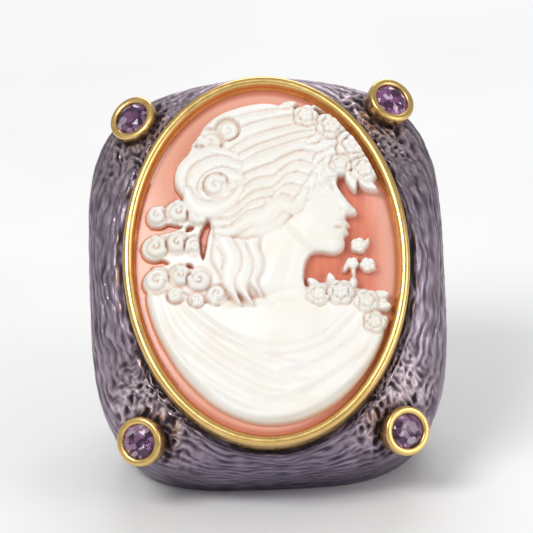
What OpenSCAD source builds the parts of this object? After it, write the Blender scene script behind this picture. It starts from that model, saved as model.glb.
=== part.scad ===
// Cameo ring: a carved shell cameo in a gilt collar on a blackened silver ring,
// with a round stone in a gilt collet at each corner of the head.
// The ring's own frame has the finger along Y and the cameo facing +Z, with its
// origin at the finger's centre. resting() then lays it on its side, as it lies
// on a table: on the flat flank that the head and the shank share.

/* [Finger and shank] */
// Diameter of the finger hole
finger_d = 18.2; // [17.2:0.1:19.2]
// Width of the shank at the back of the finger
shank_w = 6; // [5:0.1:8]
// Thickness of the shank at the back of the finger
shank_t = 1.9; // [1.6:0.1:2.6]

/* [Head] */
// Width of the head across the finger
head_w = 30.4; // [29.8:0.1:32]
// Length of the head along the finger
head_l = 34.8; // [34.4:0.1:36.5]
// Height of the head from the finger to the table that carries the collar
head_h = 9.5; // [9:0.1:11]
// How far over the top of the finger the end walls start
hip_rise = 0.3; // [0.2:0.1:1]
// Thickness of the head's walls
wall_t = 1.4; // [1.2:0.1:1.8]
// How far above the finger's middle the hollow of the head starts
hollow_rise = 0.8; // [0.6:0.1:2]
// Thickness of the metal under the collets' feet
corner_floor_t = 0.8; // [0.6:0.1:1.2]
// Width of the seat under the collar
seat_w = 0.9; // [0.7:0.1:1.2]
// Depth of the collar's seat in the head
seat_depth = 1.2; // [0.8:0.1:1.4]

/* [Cameo] */
// Width of the oval cameo
cameo_w = 22.4; // [21.8:0.1:22.8]
// Length of the oval cameo
cameo_l = 30.5; // [29.8:0.1:31]
// Thickness of the cameo at its edge
cameo_edge_t = 1.3; // [1.1:0.1:1.6]
// Rise of the domed ground from the edge to the middle
ground_rise = 1.1; // [0.8:0.1:1.4]
// Height of the carving above the ground
relief_h = 1.9; // [1.4:0.1:2.2]

/* [Collar] */
// Thickness of the collar around the cameo
collar_t = 0.85; // [0.75:0.05:1]
// Height of the collar above the head's table
collar_rise = 2.0; // [1.8:0.1:2.6]
// Width of the ledge under the cameo's edge
ledge_w = 0.9; // [0.7:0.05:1]
// Thickness of that ledge
ledge_t = 0.8; // [0.6:0.05:1]
// How far the collar's lip folds over the cameo's edge
lip_w = 0.25; // [0.2:0.05:0.35]

/* [Corner stones] */
// Diameter of a round stone
gem_d = 3.1; // [2.8:0.1:3.3]
// Height of a stone's crown above its girdle
crown_h = 0.5; // [0.4:0.05:0.6]
// Depth of a stone's pavilion below its girdle
pavilion_h = 1.33; // [1.2:0.05:1.4]
// Thickness of the collet's wall around it
collet_t = 0.5; // [0.4:0.05:0.7]
// Height of a collet along its own axis
collet_h = 3.2; // [3:0.1:3.6]
// Height of the collet's foot, which stands in the head
collet_foot_h = 0.9; // [0.7:0.1:1.2]
// How far the collet's wall flares out from its foot to its rim
collet_flare = 0.35; // [0.2:0.05:0.4]
// Distance from the head's side to a stone's centre
gem_inset_x = 4.0; // [3.8:0.1:4.2]
// Distance from the head's end to a stone's centre
gem_inset_y = 2.9; // [2.7:0.1:3.1]
// How much further in from the side the tip-left stone sits
tip_left_in_x = 0.3; // [0:0.1:0.6]
// How much further in from the end the tip-left stone sits
tip_left_in_y = 0.7; // [0:0.1:1]
// Depth of a stone's rim below the head's table
gem_drop = 1.6; // [1.3:0.1:1.8]
// Lean of a stone out towards the side, in degrees
gem_lean_x = 27; // [22:1:30]
// Lean of a stone out towards the end, in degrees
gem_lean_y = 16; // [12:1:19]

/* [Hidden] */

fit_gap = 0.03;            // clearance between pieces that seat in each other
overcut = 1;               // how far a cutting shape runs past what it cuts

finger_r = finger_d / 2;
shank_r = finger_r + shank_t;
hip_z = finger_r + hip_rise;
table_z = finger_r + head_h;
seat_z = table_z - seat_depth;
rim_z = table_z + collar_rise;

collar_w = cameo_w + 2 * (collar_t + fit_gap);
collar_l = cameo_l + 2 * (collar_t + fit_gap);
ledge_z = seat_z + fit_gap + ledge_t;
cameo_z = ledge_z + fit_gap;
cameo_edge_z = cameo_z + cameo_edge_t;
lip_z = cameo_edge_z + fit_gap;
rim_r = collar_t / 2;      // rounding of the collar's rim

// The ring lies on its flank, the plane from the hip to the edge of the shank.
lay_angle = atan2(hip_z + shank_r, (head_l - shank_w) / 2);
lay_lift = shank_w / 2 * sin(lay_angle) + shank_r * cos(lay_angle);

// Lying, it reaches from the collar's wrist end to the shank's far edge.
lay_front = (collar_l / 2 - rim_r) * cos(lay_angle) + (rim_z - rim_r) * sin(lay_angle) + rim_r;
lay_back = shank_w / 2 * cos(lay_angle) + shank_r * sin(lay_angle);
lay_shift = (lay_front - lay_back) / 2;

gem_r = gem_d / 2;
gem_x = head_w / 2 - gem_inset_x;
gem_y = head_l / 2 - gem_inset_y;
gem_z = table_z - gem_drop;
gem_lean = atan(norm([tan(gem_lean_x), tan(gem_lean_y)]));
gem_table_r = 0.57 * gem_r;
girdle_h = 0.1;            // thickness of a stone's girdle

gem_lip = 0.13;            // how far a collet's rim folds over its stone
collet_rim_h = 0.35;       // height of a collet's rim over the girdle
collet_r = gem_r + fit_gap + collet_t;
collet_foot_r = collet_r - collet_flare;
collet_foot_z = collet_rim_h - collet_h;
collet_bore_r = gem_r - 0.35;

// The hollow of the head stays under the lowest corner of the collets' feet.
hollow_z = gem_z + collet_foot_z * cos(gem_lean) - collet_foot_r * sin(gem_lean) - corner_floor_t;

silver = [0.33, 0.31, 0.34];
gilt = [0.80, 0.60, 0.26];
shell_white = [0.97, 0.95, 0.91];
violet = [0.42, 0.22, 0.40];

module resting() {
    translate([0, lay_shift, lay_lift]) rotate([lay_angle, 0, 0]) children();
}

// Faces of a closed solid that is skinned through rings of n points each.
function skin_faces(rings, n) = concat(
    [[for (i = [0:n - 1]) i]],
    skin_bands(rings, n),
    [[for (i = [n - 1:-1:0]) (rings - 1) * n + i]]);

function skin_bands(rings, n) =
    [for (k = [0:rings - 2]) for (i = [0:n - 1])
        let (j = (i + 1) % n, a = k * n, b = a + n)
        each [[a + j, a + i, b + i], [a + j, b + i, b + j]]];

// An upright oval post.
module oval_post(w, l, z0, z1, sides = 72) {
    translate([0, 0, z0]) linear_extrude(z1 - z0)
        polygon([for (i = [0:sides - 1]) [w / 2 * cos(360 * i / sides), l / 2 * sin(360 * i / sides)]]);
}

// Sections of the head, as shares of its height, half width and half length,
// with the outline's roundness across and along.
HEAD_SECTIONS = [
    // rise, width, length, round_x, round_y
    [0.00, 0.970, 1.000, 3.1, 3.9],
    [0.25, 0.995, 1.000, 3.1, 3.9],
    [0.48, 1.000, 1.000, 3.1, 3.9],
    [0.63, 0.990, 0.998, 2.85, 3.2],
    [0.74, 0.970, 0.992, 2.5, 2.6],
    [0.84, 0.940, 0.982, 2.2, 2.2],
    [0.92, 0.902, 0.970, 2.0, 2.0],
    [0.97, 0.868, 0.961, 1.95, 1.95],
    [1.00, 0.838, 0.953, 2.0, 2.0]];

// Sections from the back of the finger up to the head: share of the way round
// from the head, share of the flank's half width there, and roundness.
SHANK_SECTIONS = [
    // turn, flank, roundness
    [0.98, 1.12, 7.0],
    [0.90, 1.12, 6.5],
    [0.80, 1.13, 6.0],
    [0.70, 1.14, 5.5],
    [0.60, 1.16, 5.0],
    [0.50, 1.18, 4.8],
    [0.40, 1.20, 4.6],
    [0.30, 1.19, 4.4],
    [0.21, 1.16, 4.2],
    [0.13, 1.11, 4.0],
    [0.06, 1.05, 3.9]];

body_points = 64;          // points around each section of the body

// Half width of the flanks at a height: the plane that the ring lies on.
function flank(z) = shank_w / 2 + (head_l - shank_w) / 2 * (z + shank_r) / (hip_z + shank_r);

function shank_section_z(turn) =
    finger_r - (finger_r + shank_r) * sin(90 * turn) / sin(90 * SHANK_SECTIONS[0][0]);

// An outline that has its own roundness across and along.
function cushion(w, l, round_x, round_y) =
    [for (i = [0:body_points - 1]) let (t = 360 * i / body_points)
        [w * sign(cos(t)) * pow(abs(cos(t)), 2 / round_x),
         l * sign(sin(t)) * pow(abs(sin(t)), 2 / round_y)]];

function at_height(outline, z) = [for (p = outline) [p[0], p[1], z]];

function shank_half_width(turn) = head_w / 2 * HEAD_SECTIONS[0][1] * cos(90 * turn);

module body_blank() {
    shank = [for (s = SHANK_SECTIONS) let (z = shank_section_z(s[0]))
        at_height(cushion(shank_half_width(s[0]), flank(z) * s[1], s[2], s[2]), z)];
    head = [for (s = HEAD_SECTIONS)
        at_height(cushion(head_w / 2 * s[1], head_l / 2 * s[2], s[3], s[4]), finger_r + head_h * s[0])];
    sections = concat(shank, head);
    polyhedron([for (s = sections) each s], skin_faces(len(sections), body_points), 4);
}

// Everything beyond the two flanks.
module flank_cuts() {
    reach = 2 * (head_l + head_w);
    for (side = [-1, 1])
        translate([0, side * head_l / 2, hip_z]) rotate([-side * (90 - lay_angle), 0, 0])
            translate([-reach / 2, side > 0 ? 0 : -reach, -reach / 2]) cube(reach);
}

// The head is hollow and open to the finger. The hollow follows the head's
// outline, the shoulders and the flanks, one wall inside each. It starts above
// the finger's middle, so that metal is behind more than half of the finger hole.
module head_hollow() {
    reach = head_l + head_w;
    low_z = hollow_rise;
    flank_wall = wall_t / sin(lay_angle);
    shoulder = [for (s = SHANK_SECTIONS) if (shank_section_z(s[0]) > low_z - finger_r)
        [shank_half_width(s[0]) - wall_t, shank_section_z(s[0])]];
    shoulders = concat(shoulder, [[head_w / 2, table_z], [-head_w / 2, table_z]],
        [for (i = [len(shoulder) - 1:-1:0]) [-shoulder[i][0], shoulder[i][1]]]);
    low = flank(low_z) - flank_wall;
    high = flank(table_z) - flank_wall;
    intersection() {
        translate([0, 0, low_z]) linear_extrude(hollow_z - low_z)
            polygon(cushion(head_w / 2 - wall_t, head_l / 2 - wall_t,
                HEAD_SECTIONS[1][3], HEAD_SECTIONS[1][4]));
        rotate([90, 0, 0]) translate([0, 0, -reach / 2]) linear_extrude(reach) polygon(shoulders);
        rotate([90, 0, 90]) translate([0, 0, -reach / 2]) linear_extrude(reach)
            polygon([[-low, low_z], [low, low_z], [high, table_z], [-high, table_z]]);
    }
}

// The oval well under the cameo and the collar's seat around its top.
module cameo_well() {
    oval_post(collar_w - 2 * seat_w, collar_l - 2 * seat_w, finger_r, seat_z + overcut);
    oval_post(collar_w + 2 * fit_gap, collar_l + 2 * fit_gap, seat_z, table_z + overcut);
}

module ring_body() {
    color(silver) resting() difference() {
        body_blank();
        flank_cuts();
        rotate([90, 0, 0]) cylinder(h = 2 * head_l, r = finger_r, center = true, $fn = 96);
        head_hollow();
        cameo_well();
        for (sx = [-1, 1]) for (sy = [-1, 1]) on_corner(sx, sy) collet_seat();
    }
}

collar_points = 72;        // steps around the oval

// The collar is one profile carried around the oval. It is drawn as distances
// in from the collar's outer wall, and heights.
function collar_profile() = concat(
    [[0, seat_z + fit_gap], [0, rim_z - rim_r]],
    [for (a = [150, 120, 90, 60]) [rim_r + rim_r * cos(a), rim_z - rim_r + rim_r * sin(a)]],
    [[collar_t + lip_w, lip_z + 0.35 * (rim_z - lip_z)], [collar_t + lip_w, lip_z],
     [collar_t, lip_z], [collar_t, ledge_z], [collar_t + ledge_w, ledge_z],
     [collar_t + ledge_w, seat_z + fit_gap]]);

module cameo_collar() {
    profile = collar_profile();
    n = len(profile);
    points = [for (i = [0:collar_points - 1]) let (t = 360 * i / collar_points) for (p = profile)
        [(collar_w / 2 - p[0]) * cos(t), (collar_l / 2 - p[0]) * sin(t), p[1]]];
    faces = [for (i = [0:collar_points - 1]) for (k = [0:n - 1])
        let (a = i * n, b = (i + 1) % collar_points * n, m = (k + 1) % n)
        each [[a + k, a + m, b + m], [a + k, b + m, b + k]]];
    color(gilt) resting() polyhedron(points, faces, 4);
}

// The carving is drawn on a board of this half width and half length, and
// stretched to the cameo's own. Heights are shares of relief_h.
BOARD_W = 73.2;
BOARD_L = 100;
CARVING_COLUMNS = 54;
CARVING_ROWS = 74;

// Outlines of the draped shoulders, the head and neck, and the dressed hair.
BUST = [[-66, -16], [-64, -32], [-58, -47], [-47, -65], [-31, -82], [-13, -91], [4, -94], [21, -90],
        [38, -80], [54, -63], [63, -46], [60, -35], [66, -28], [62, -22], [48, -18], [34, -14],
        [22, -17], [8, -21], [-20, -24], [-40, -12], [-54, -10]];
HEAD_AND_NECK = [[38, 62], [42, 54], [42, 46], [40, 40], [46, 30], [51, 24], [45, 20], [46, 15],
        [45, 11], [43, 7], [43, 3], [37, -1], [25, -2], [20, -12], [21, -20], [26, -28],
        [-24, -34], [-20, 2], [-8, 46], [10, 62]];
HAIR = [[40, 60], [30, 50], [22, 36], [16, 22], [6, 14], [-10, 8], [-24, 12], [-36, 24], [-46, 40],
        [-45, 56], [-43, 72], [-28, 83], [-8, 91], [12, 93], [34, 88], [50, 76], [60, 62], [64, 46],
        [56, 40], [48, 44]];

// Curls behind the head and down the neck, and blossoms in the hair and at the
// shoulder: place, radius and height.
CURLS = [
    // x, y, radius, height
    [-36, 62, 11, 1.00],
    [-38, 45, 12, 1.00],
    [-24, 52, 9, 0.96],
    [-30, 30, 9, 0.94],
    [-36, 76, 8, 0.90],
    [-22, 83, 7, 0.90],
    [-58, 27, 8, 0.82],
    [-45, 26, 6, 0.84],
    [-58, 9, 9, 0.84],
    [-44, 5, 8, 0.86],
    [-60, -10, 8, 0.80],
    [-46, -12, 9, 0.84],
    [-30, -12, 9, 0.84],
    [-20, 2, 7, 0.80],
    [-24, -28, 8, 0.74]];
BLOSSOMS = [
    [48, 66, 11, 1.00],
    [55, 50, 9, 0.98],
    [38, 80, 9, 1.00],
    [24, 87, 7, 0.96],
    [42, 53, 6, 0.94],
    [51, 8, 5, 0.50],
    [55, -3, 5, 0.50],
    [40, -22, 8, 0.86],
    [54, -27, 7, 0.84],
    [28, -24, 7, 0.80],
    [59, -39, 7, 0.78]];

// Features of the head, each a soft swelling or hollow: place, reach and height.
FEATURES = [
    // x, y, reach_x, reach_y, height
    [30, 16, 13, 13, 0.10],    // cheek
    [35, 38, 6, 4, -0.13],     // eye socket
    [36, 37, 3, 2, 0.06],      // eye
    [37, 43, 6, 2, 0.06],      // brow
    [45, 24, 3, 3, 0.06],      // side of the nose
    [43, 15, 3, 2, 0.06],      // upper lip
    [43, 11, 3, 2, 0.06],      // lower lip
    [40, 4, 4, 3, 0.06]];      // chin

function segment_distance(p, a, b) =
    let (t = max(0, min(1, (p - a) * (b - a) / ((b - a) * (b - a))))) norm(p - a - t * (b - a));

// How far a point lies inside an outline, below zero outside it.
function depth_inside(p, outline) =
    let (n = len(outline),
         ends = [for (i = [0:n - 1]) [outline[i], outline[(i + 1) % n]]],
         near = min([for (e = ends) segment_distance(p, e[0], e[1])]),
         crossed = [for (e = ends) if ((e[0][1] > p[1]) != (e[1][1] > p[1])
             && p[0] < e[0][0] + (p[1] - e[0][1]) * (e[1][0] - e[0][0]) / (e[1][1] - e[0][1])) 1])
    len(crossed) % 2 == 1 ? near : -near;

// A rounded edge that reaches full height one width inside.
function rounded(depth, width) =
    depth <= 0 ? 0 : let (t = 1 - min(1, depth / width)) sqrt(1 - t * t);

// A soft swelling, one in the middle and near nothing at its reach.
function swell(p, x, y, reach_x, reach_y) =
    exp(-1.6 * (pow((p[0] - x) / reach_x, 2) + pow((p[1] - y) / reach_y, 2)));

// A dome on an upright edge of half its height.
function dome(p, s) =
    let (r = norm(p - [s[0], s[1]]) / s[2]) r < 1 ? s[3] * (0.5 + 0.5 * sqrt(1 - r * r)) : 0;

// A run of round ridges side by side.
function ridges(distance, spacing) = abs(sin(180 * distance / spacing));

BUST_HEIGHT = 0.46;
CHEST_SWELL = 0.12;
FOLD_HEIGHT = 0.16;
FOLD_SPACING = 11;
NECK_HEIGHT = 0.38;
HEAD_RISE = 0.26;
JAW_STEP = 0.16;           // how much lower the neck lies, as a share of its height
HAIR_HEIGHT = 0.72;
WAVE_HEIGHT = 0.18;
WAVE_SPACING = 9;
WAVE_CENTRE = [0, -60];    // the waves of hair are arcs around this point

// Folds of the drapery run along the oval's lower edge and leave the chest smooth.
function bust_height(p) =
    let (ring = BOARD_L * norm([p[0] / BOARD_W, p[1] / BOARD_L]))
    rounded(depth_inside(p, BUST), 7) * (BUST_HEIGHT + CHEST_SWELL * swell(p, 8, -40, 26, 18)
        + FOLD_HEIGHT * ridges(ring, FOLD_SPACING) * (1 - swell(p, 12, -32, 34, 18)));

// The neck steps back under the line of the jaw.
function head_height(p) =
    let (d = depth_inside(p, HEAD_AND_NECK), jaw = max(0, min(1, (p[1] + 0.4 * (p[0] - 36)) / 8)),
         features = [for (s = FEATURES) s[4] * swell(p, s[0], s[1], s[2], s[3])])
    d <= 0 ? 0 : (NECK_HEIGHT + HEAD_RISE * rounded(d, 9)) * (1 - JAW_STEP * (1 - jaw))
        + jaw * features * [for (s = FEATURES) 1];

// Waves of hair sweep back from the brow.
function hair_height(p) =
    rounded(depth_inside(p, HAIR), 8)
        * (HAIR_HEIGHT + WAVE_HEIGHT * ridges(norm(p - WAVE_CENTRE), WAVE_SPACING));

function figure_height(p) = max(bust_height(p), head_height(p), hair_height(p),
    max([for (s = CURLS) dome(p, s)]), max([for (s = BLOSSOMS) dome(p, s)]));

// The ground is level under the collar's lip and domes up to the middle. The
// figure stops one margin inside the lip.
lip_share = 1 - 2 * (lip_w + fit_gap) / cameo_w;
FIGURE_MARGIN = 0.02;

function carving_height(p) =
    let (r = norm([p[0] / BOARD_W, p[1] / BOARD_L]) / lip_share, inside = max(0, 1 - r * r))
    ground_rise * inside + relief_h * min(1, inside / (2 * FIGURE_MARGIN)) * figure_height(p);

// A square grid bent into rings that fill the oval, the outermost under the lip.
function board_point(i, j) =
    let (u = 2 * i / CARVING_COLUMNS - 1, v = 2 * j / CARVING_ROWS - 1, k = max(abs(u), abs(v)),
         inner = 1 - 2 / CARVING_COLUMNS,
         r = k < inner ? lip_share * k / inner : lip_share + (1 - lip_share) * (k - inner) / (1 - inner),
         a = k == 0 ? 0 : abs(u) > abs(v) ? (u > 0 ? 0 : 180) + 45 * v / u : (v > 0 ? 90 : 270) - 45 * u / v)
    [BOARD_W * r * cos(a), BOARD_L * r * sin(a)];

module cameo() {
    nx = CARVING_COLUMNS;
    ny = CARVING_ROWS;
    top = [for (i = [0:nx]) for (j = [0:ny]) let (p = board_point(i, j))
        [p[0] / BOARD_W * cameo_w / 2, p[1] / BOARD_L * cameo_l / 2, cameo_edge_z + carving_height(p)]];
    rim = concat([for (i = [0:nx - 1]) i * (ny + 1)], [for (j = [0:ny - 1]) nx * (ny + 1) + j],
        [for (i = [nx:-1:1]) i * (ny + 1) + ny], [for (j = [ny:-1:1]) j]);
    back = [for (k = rim) [top[k][0], top[k][1], cameo_z]];
    n = len(rim);
    last = len(top);
    surface = [for (i = [0:nx - 1]) for (j = [0:ny - 1]) let (a = i * (ny + 1) + j, b = a + ny + 1)
        each [[a, a + 1, b + 1], [a, b + 1, b]]];
    edge = [for (k = [0:n - 1]) let (m = (k + 1) % n)
        each [[rim[k], rim[m], last + m], [rim[k], last + m, last + k]]];
    color(shell_white) resting()
        polyhedron(concat(top, back), concat(surface, edge, [[for (k = [0:n - 1]) last + k]]), 4);
}

// Places a child on a corner of the head, leaning outwards, with the middle of
// the stone's girdle at its origin. The tip-left one sits a little further in.
module on_corner(sx, sy) {
    turn = atan2(sy * tan(gem_lean_y), sx * tan(gem_lean_x));
    inset = sx < 0 && sy > 0 ? [tip_left_in_x, tip_left_in_y] : [0, 0];
    translate([sx * (gem_x - inset[0]), sy * (gem_y - inset[1]), gem_z])
        rotate([0, 0, turn]) rotate([0, gem_lean, 0]) children();
}

// The rim is half round outside and folds over the stone's crown inside. The
// seat under the girdle runs along the pavilion.
module collet() {
    crown_slope = crown_h / (gem_r - gem_table_r);
    pavilion_slope = pavilion_h / gem_r;
    edge_r = gem_r + fit_gap;
    lip_r = edge_r - gem_lip;
    round_r = collet_rim_h - girdle_h;
    rotate_extrude($fn = 48) polygon(concat(
        [[collet_bore_r, collet_foot_z], [collet_foot_r, collet_foot_z],
         [collet_foot_r, collet_foot_z + collet_foot_h], [collet_r, -collet_rim_h]],
        [for (a = [0, 30, 60, 90]) [collet_r - round_r + round_r * cos(a), girdle_h + round_r * sin(a)]],
        [[lip_r + round_r, collet_rim_h], [lip_r, girdle_h / 2 + gem_lip * crown_slope],
         [edge_r, girdle_h / 2], [edge_r, -girdle_h / 2],
         [collet_bore_r, -girdle_h / 2 - (edge_r - collet_bore_r) * pavilion_slope]]));
}

// The hole in the head follows the collet's outside.
module collet_seat() {
    rim = collet_r + fit_gap;
    foot = collet_foot_r + fit_gap;
    low = collet_foot_z - fit_gap;
    rotate_extrude($fn = 48) polygon([[0, low], [foot, low], [foot, collet_foot_z + collet_foot_h],
        [rim, -collet_rim_h], [rim, overcut], [0, overcut]]);
}

// A round brilliant, eight-fold: a table, star and kite facets, upper and lower
// girdle facets and eight pavilion mains that meet at the point.
STAR_REACH = 0.46;         // how far a star facet reaches from the table to the girdle
PAVILION_REACH = 0.25;     // radius of the pavilion's side points, as a share

function fold_ring(r, z, count, turn) =
    [for (i = [0:count - 1]) let (t = 360 * i / count + turn) [r * cos(t), r * sin(t), z]];

module brilliant() {
    mid = cos(22.5);
    star_r = gem_table_r + STAR_REACH * (gem_r - gem_table_r);
    star_z = girdle_h / 2 + crown_h * (gem_r - star_r * mid) / (gem_r - gem_table_r);
    side_r = PAVILION_REACH * gem_r;
    point_z = -girdle_h / 2 - pavilion_h;
    points = concat(
        fold_ring(gem_table_r, girdle_h / 2 + crown_h, 8, 0),
        fold_ring(star_r, star_z, 8, 22.5),
        fold_ring(gem_r, girdle_h / 2, 16, 0),
        fold_ring(gem_r, -girdle_h / 2, 16, 0),
        fold_ring(side_r, point_z + pavilion_h * side_r * mid / gem_r, 8, 22.5),
        [[0, 0, point_z]]);
    star = 8;
    upper = 16;
    lower = 32;
    side = 48;
    faces = concat(
        [[for (i = [7:-1:0]) i]],
        [for (i = [0:7]) let (j = (i + 1) % 8, h = (i + 7) % 8,
                              g = 2 * i, m = (g + 1) % 16, q = (g + 2) % 16) each [
            [i, j, star + i],
            [i, star + i, upper + g, star + h],
            [star + i, upper + m, upper + g],
            [star + i, upper + q, upper + m],
            [upper + g, upper + m, lower + m, lower + g],
            [upper + m, upper + q, lower + q, lower + m],
            [side + i, lower + g, lower + m],
            [side + i, lower + m, lower + q],
            [side + i, side + 8, side + h, lower + g]]]);
    polyhedron(points, faces, 4);
}

module corner_collet(sx, sy) {
    color(gilt) resting() on_corner(sx, sy) collet();
}

module corner_gem(sx, sy) {
    color(violet) resting() on_corner(sx, sy) brilliant();
}

ring_body();
cameo_collar();
cameo();
corner_collet(-1, 1);  // collet_tip_left
corner_collet(1, 1);  // collet_tip_right
corner_collet(-1, -1);  // collet_wrist_left
corner_collet(1, -1);  // collet_wrist_right
corner_gem(-1, 1);  // gem_tip_left
corner_gem(1, 1);  // gem_tip_right
corner_gem(-1, -1);  // gem_wrist_left
corner_gem(1, -1);  // gem_wrist_right
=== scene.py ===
"""Looks of the cameo ring: blackened silver with a bark finish, gilt collar and
collets, violet stones and a carved shell cameo, laid on its side on a pale floor.

Sizes are in millimetres in the ring's own frame, as in the part's source: the
finger hole runs along Y, the cameo faces +Z and the origin is the hole's centre.
at_rest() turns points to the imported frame, in metres.
"""
import math

import bpy
import numpy as np
from mathutils import Matrix, Vector
from mathutils.kdtree import KDTree


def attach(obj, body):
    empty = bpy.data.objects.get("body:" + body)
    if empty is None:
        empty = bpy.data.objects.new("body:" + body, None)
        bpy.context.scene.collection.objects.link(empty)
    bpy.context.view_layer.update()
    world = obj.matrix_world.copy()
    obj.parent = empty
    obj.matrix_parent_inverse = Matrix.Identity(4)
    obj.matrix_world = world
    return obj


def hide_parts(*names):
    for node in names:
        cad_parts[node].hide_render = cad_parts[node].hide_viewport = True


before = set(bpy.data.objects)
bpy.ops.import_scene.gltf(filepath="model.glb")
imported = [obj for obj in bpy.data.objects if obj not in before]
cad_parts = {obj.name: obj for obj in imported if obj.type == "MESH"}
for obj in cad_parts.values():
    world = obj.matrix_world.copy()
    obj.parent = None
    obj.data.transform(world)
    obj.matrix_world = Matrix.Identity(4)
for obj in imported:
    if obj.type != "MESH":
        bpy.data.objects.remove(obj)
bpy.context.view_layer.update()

MM = 0.001

# Driving sizes, as in the part's source
FINGER_R = 9.1
SHANK_W = 6.0
SHANK_T = 1.9
HEAD_W = 30.4
HEAD_L = 34.8
HEAD_H = 9.5
HIP_RISE = 0.3
WALL_T = 1.4
HOLLOW_RISE = 0.8
CORNER_FLOOR_T = 0.8
SEAT_W = 0.9
SEAT_DEPTH = 1.2
CAMEO_W = 22.4
CAMEO_L = 30.5
CAMEO_EDGE_T = 1.3
GROUND_RISE = 1.1
RELIEF_H = 1.9
COLLAR_T = 0.85
COLLAR_RISE = 2.0
LEDGE_W = 0.9
LEDGE_T = 0.8
LIP_W = 0.25
GEM_R = 1.55
GEM_TABLE_SHARE = 0.57
CROWN_H = 0.5
PAVILION_H = 1.33
COLLET_T = 0.5
COLLET_H = 3.2
COLLET_FOOT_H = 0.9
COLLET_FLARE = 0.35
COLLET_RIM_H = 0.35
BEARING_W = 0.35
GEM_INSET_X = 4.0
GEM_INSET_Y = 2.9
TIP_LEFT_IN = (0.3, 0.7)       # how much further in the tip-left stone sits
GEM_DROP = 1.6
GEM_LEAN_X = math.radians(27)
GEM_LEAN_Y = math.radians(16)
GEM_LIP = 0.13
GIRDLE_H = 0.1
FIT_GAP = 0.03
OVERCUT = 1.0                  # how far a cutter reaches past what it opens

# Sizes worked out from them
SHANK_R = FINGER_R + SHANK_T
HIP_Z = FINGER_R + HIP_RISE
TABLE_Z = FINGER_R + HEAD_H
SEAT_Z = TABLE_Z - SEAT_DEPTH
RIM_Z = TABLE_Z + COLLAR_RISE
COLLAR_W = CAMEO_W + 2 * (COLLAR_T + FIT_GAP)
COLLAR_L = CAMEO_L + 2 * (COLLAR_T + FIT_GAP)
LEDGE_Z = SEAT_Z + FIT_GAP + LEDGE_T
CAMEO_Z = LEDGE_Z + FIT_GAP
CAMEO_EDGE_Z = CAMEO_Z + CAMEO_EDGE_T
LIP_Z = CAMEO_EDGE_Z + FIT_GAP
RIM_R = COLLAR_T / 2
GEM_X = HEAD_W / 2 - GEM_INSET_X
GEM_Y = HEAD_L / 2 - GEM_INSET_Y
GEM_Z = TABLE_Z - GEM_DROP
GEM_LEAN = math.atan(math.hypot(math.tan(GEM_LEAN_X), math.tan(GEM_LEAN_Y)))
GEM_TABLE_R = GEM_TABLE_SHARE * GEM_R
COLLET_R = GEM_R + FIT_GAP + COLLET_T
COLLET_FOOT_R = COLLET_R - COLLET_FLARE
COLLET_FOOT_Z = COLLET_RIM_H - COLLET_H
COLLET_BORE_R = GEM_R - BEARING_W
HOLLOW_Z = (GEM_Z + COLLET_FOOT_Z * math.cos(GEM_LEAN) - COLLET_FOOT_R * math.sin(GEM_LEAN)
            - CORNER_FLOOR_T)

# The ring lies on its flank, the plane from the hip to the edge of the shank.
LAY_ANGLE = math.atan2(HIP_Z + SHANK_R, (HEAD_L - SHANK_W) / 2)
LAY_LIFT = SHANK_W / 2 * math.sin(LAY_ANGLE) + SHANK_R * math.cos(LAY_ANGLE)
LAY_FRONT = ((COLLAR_L / 2 - RIM_R) * math.cos(LAY_ANGLE)
             + (RIM_Z - RIM_R) * math.sin(LAY_ANGLE) + RIM_R)
LAY_BACK = SHANK_W / 2 * math.cos(LAY_ANGLE) + SHANK_R * math.sin(LAY_ANGLE)
LAY_SHIFT = (LAY_FRONT - LAY_BACK) / 2
REST = (Matrix.Translation((0, LAY_SHIFT * MM, LAY_LIFT * MM))
        @ Matrix.Rotation(LAY_ANGLE, 4, "X") @ Matrix.Scale(MM, 4))

# Camera, floor and light
LOOK_AT = (0.0, 0.0, 18.0)     # the middle of the cameo
CAMERA_PITCH = 15.5            # degrees from square on towards the wrist side
CAMERA_ROLL = -2.3
CAMERA_DISTANCE = 400.0
VIEW_W = 45.0                  # what the camera sees there, side to side
SENSOR_W = 36.0
CLIP_START = 0.01
FLOOR_HALF = 1.2
WORLD_LIGHT = 0.45
SOFTBOXES = (                  # name, place and size in metres, power in watts
    ("key", (-0.25, -0.35, 0.45), (0.3, 0.2), 2.2),
    ("fill", (0.4, -0.25, 0.2), (0.25, 0.25), 0.7),
    ("back", (0.05, 0.4, 0.4), (0.4, 0.15), 1.2))


def at_rest(points):
    """Points in the ring's own frame, in mm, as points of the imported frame."""
    turn = np.array(REST.to_3x3())
    return np.asarray(points, float) @ turn.T + np.array(REST.translation)


def smooth_row(knots, values, at):
    """A smooth curve through values that never swings past them."""
    step = np.diff(knots)
    slope = np.diff(values) / step
    mean = np.zeros(len(values))
    same = slope[:-1] * slope[1:] > 0
    mean[1:-1][same] = 2 * slope[:-1][same] * slope[1:][same] / (slope[:-1] + slope[1:])[same]
    mean[0], mean[-1] = slope[0], slope[-1]
    k = np.clip(np.searchsorted(knots, at, side="right") - 1, 0, len(step) - 1)
    t = (at - knots[k]) / step[k]
    return ((1 + 2 * t) * (1 - t) ** 2 * values[k] + t * (1 - t) ** 2 * step[k] * mean[k]
            + t * t * (3 - 2 * t) * values[k + 1] + t * t * (t - 1) * step[k] * mean[k + 1])


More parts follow.
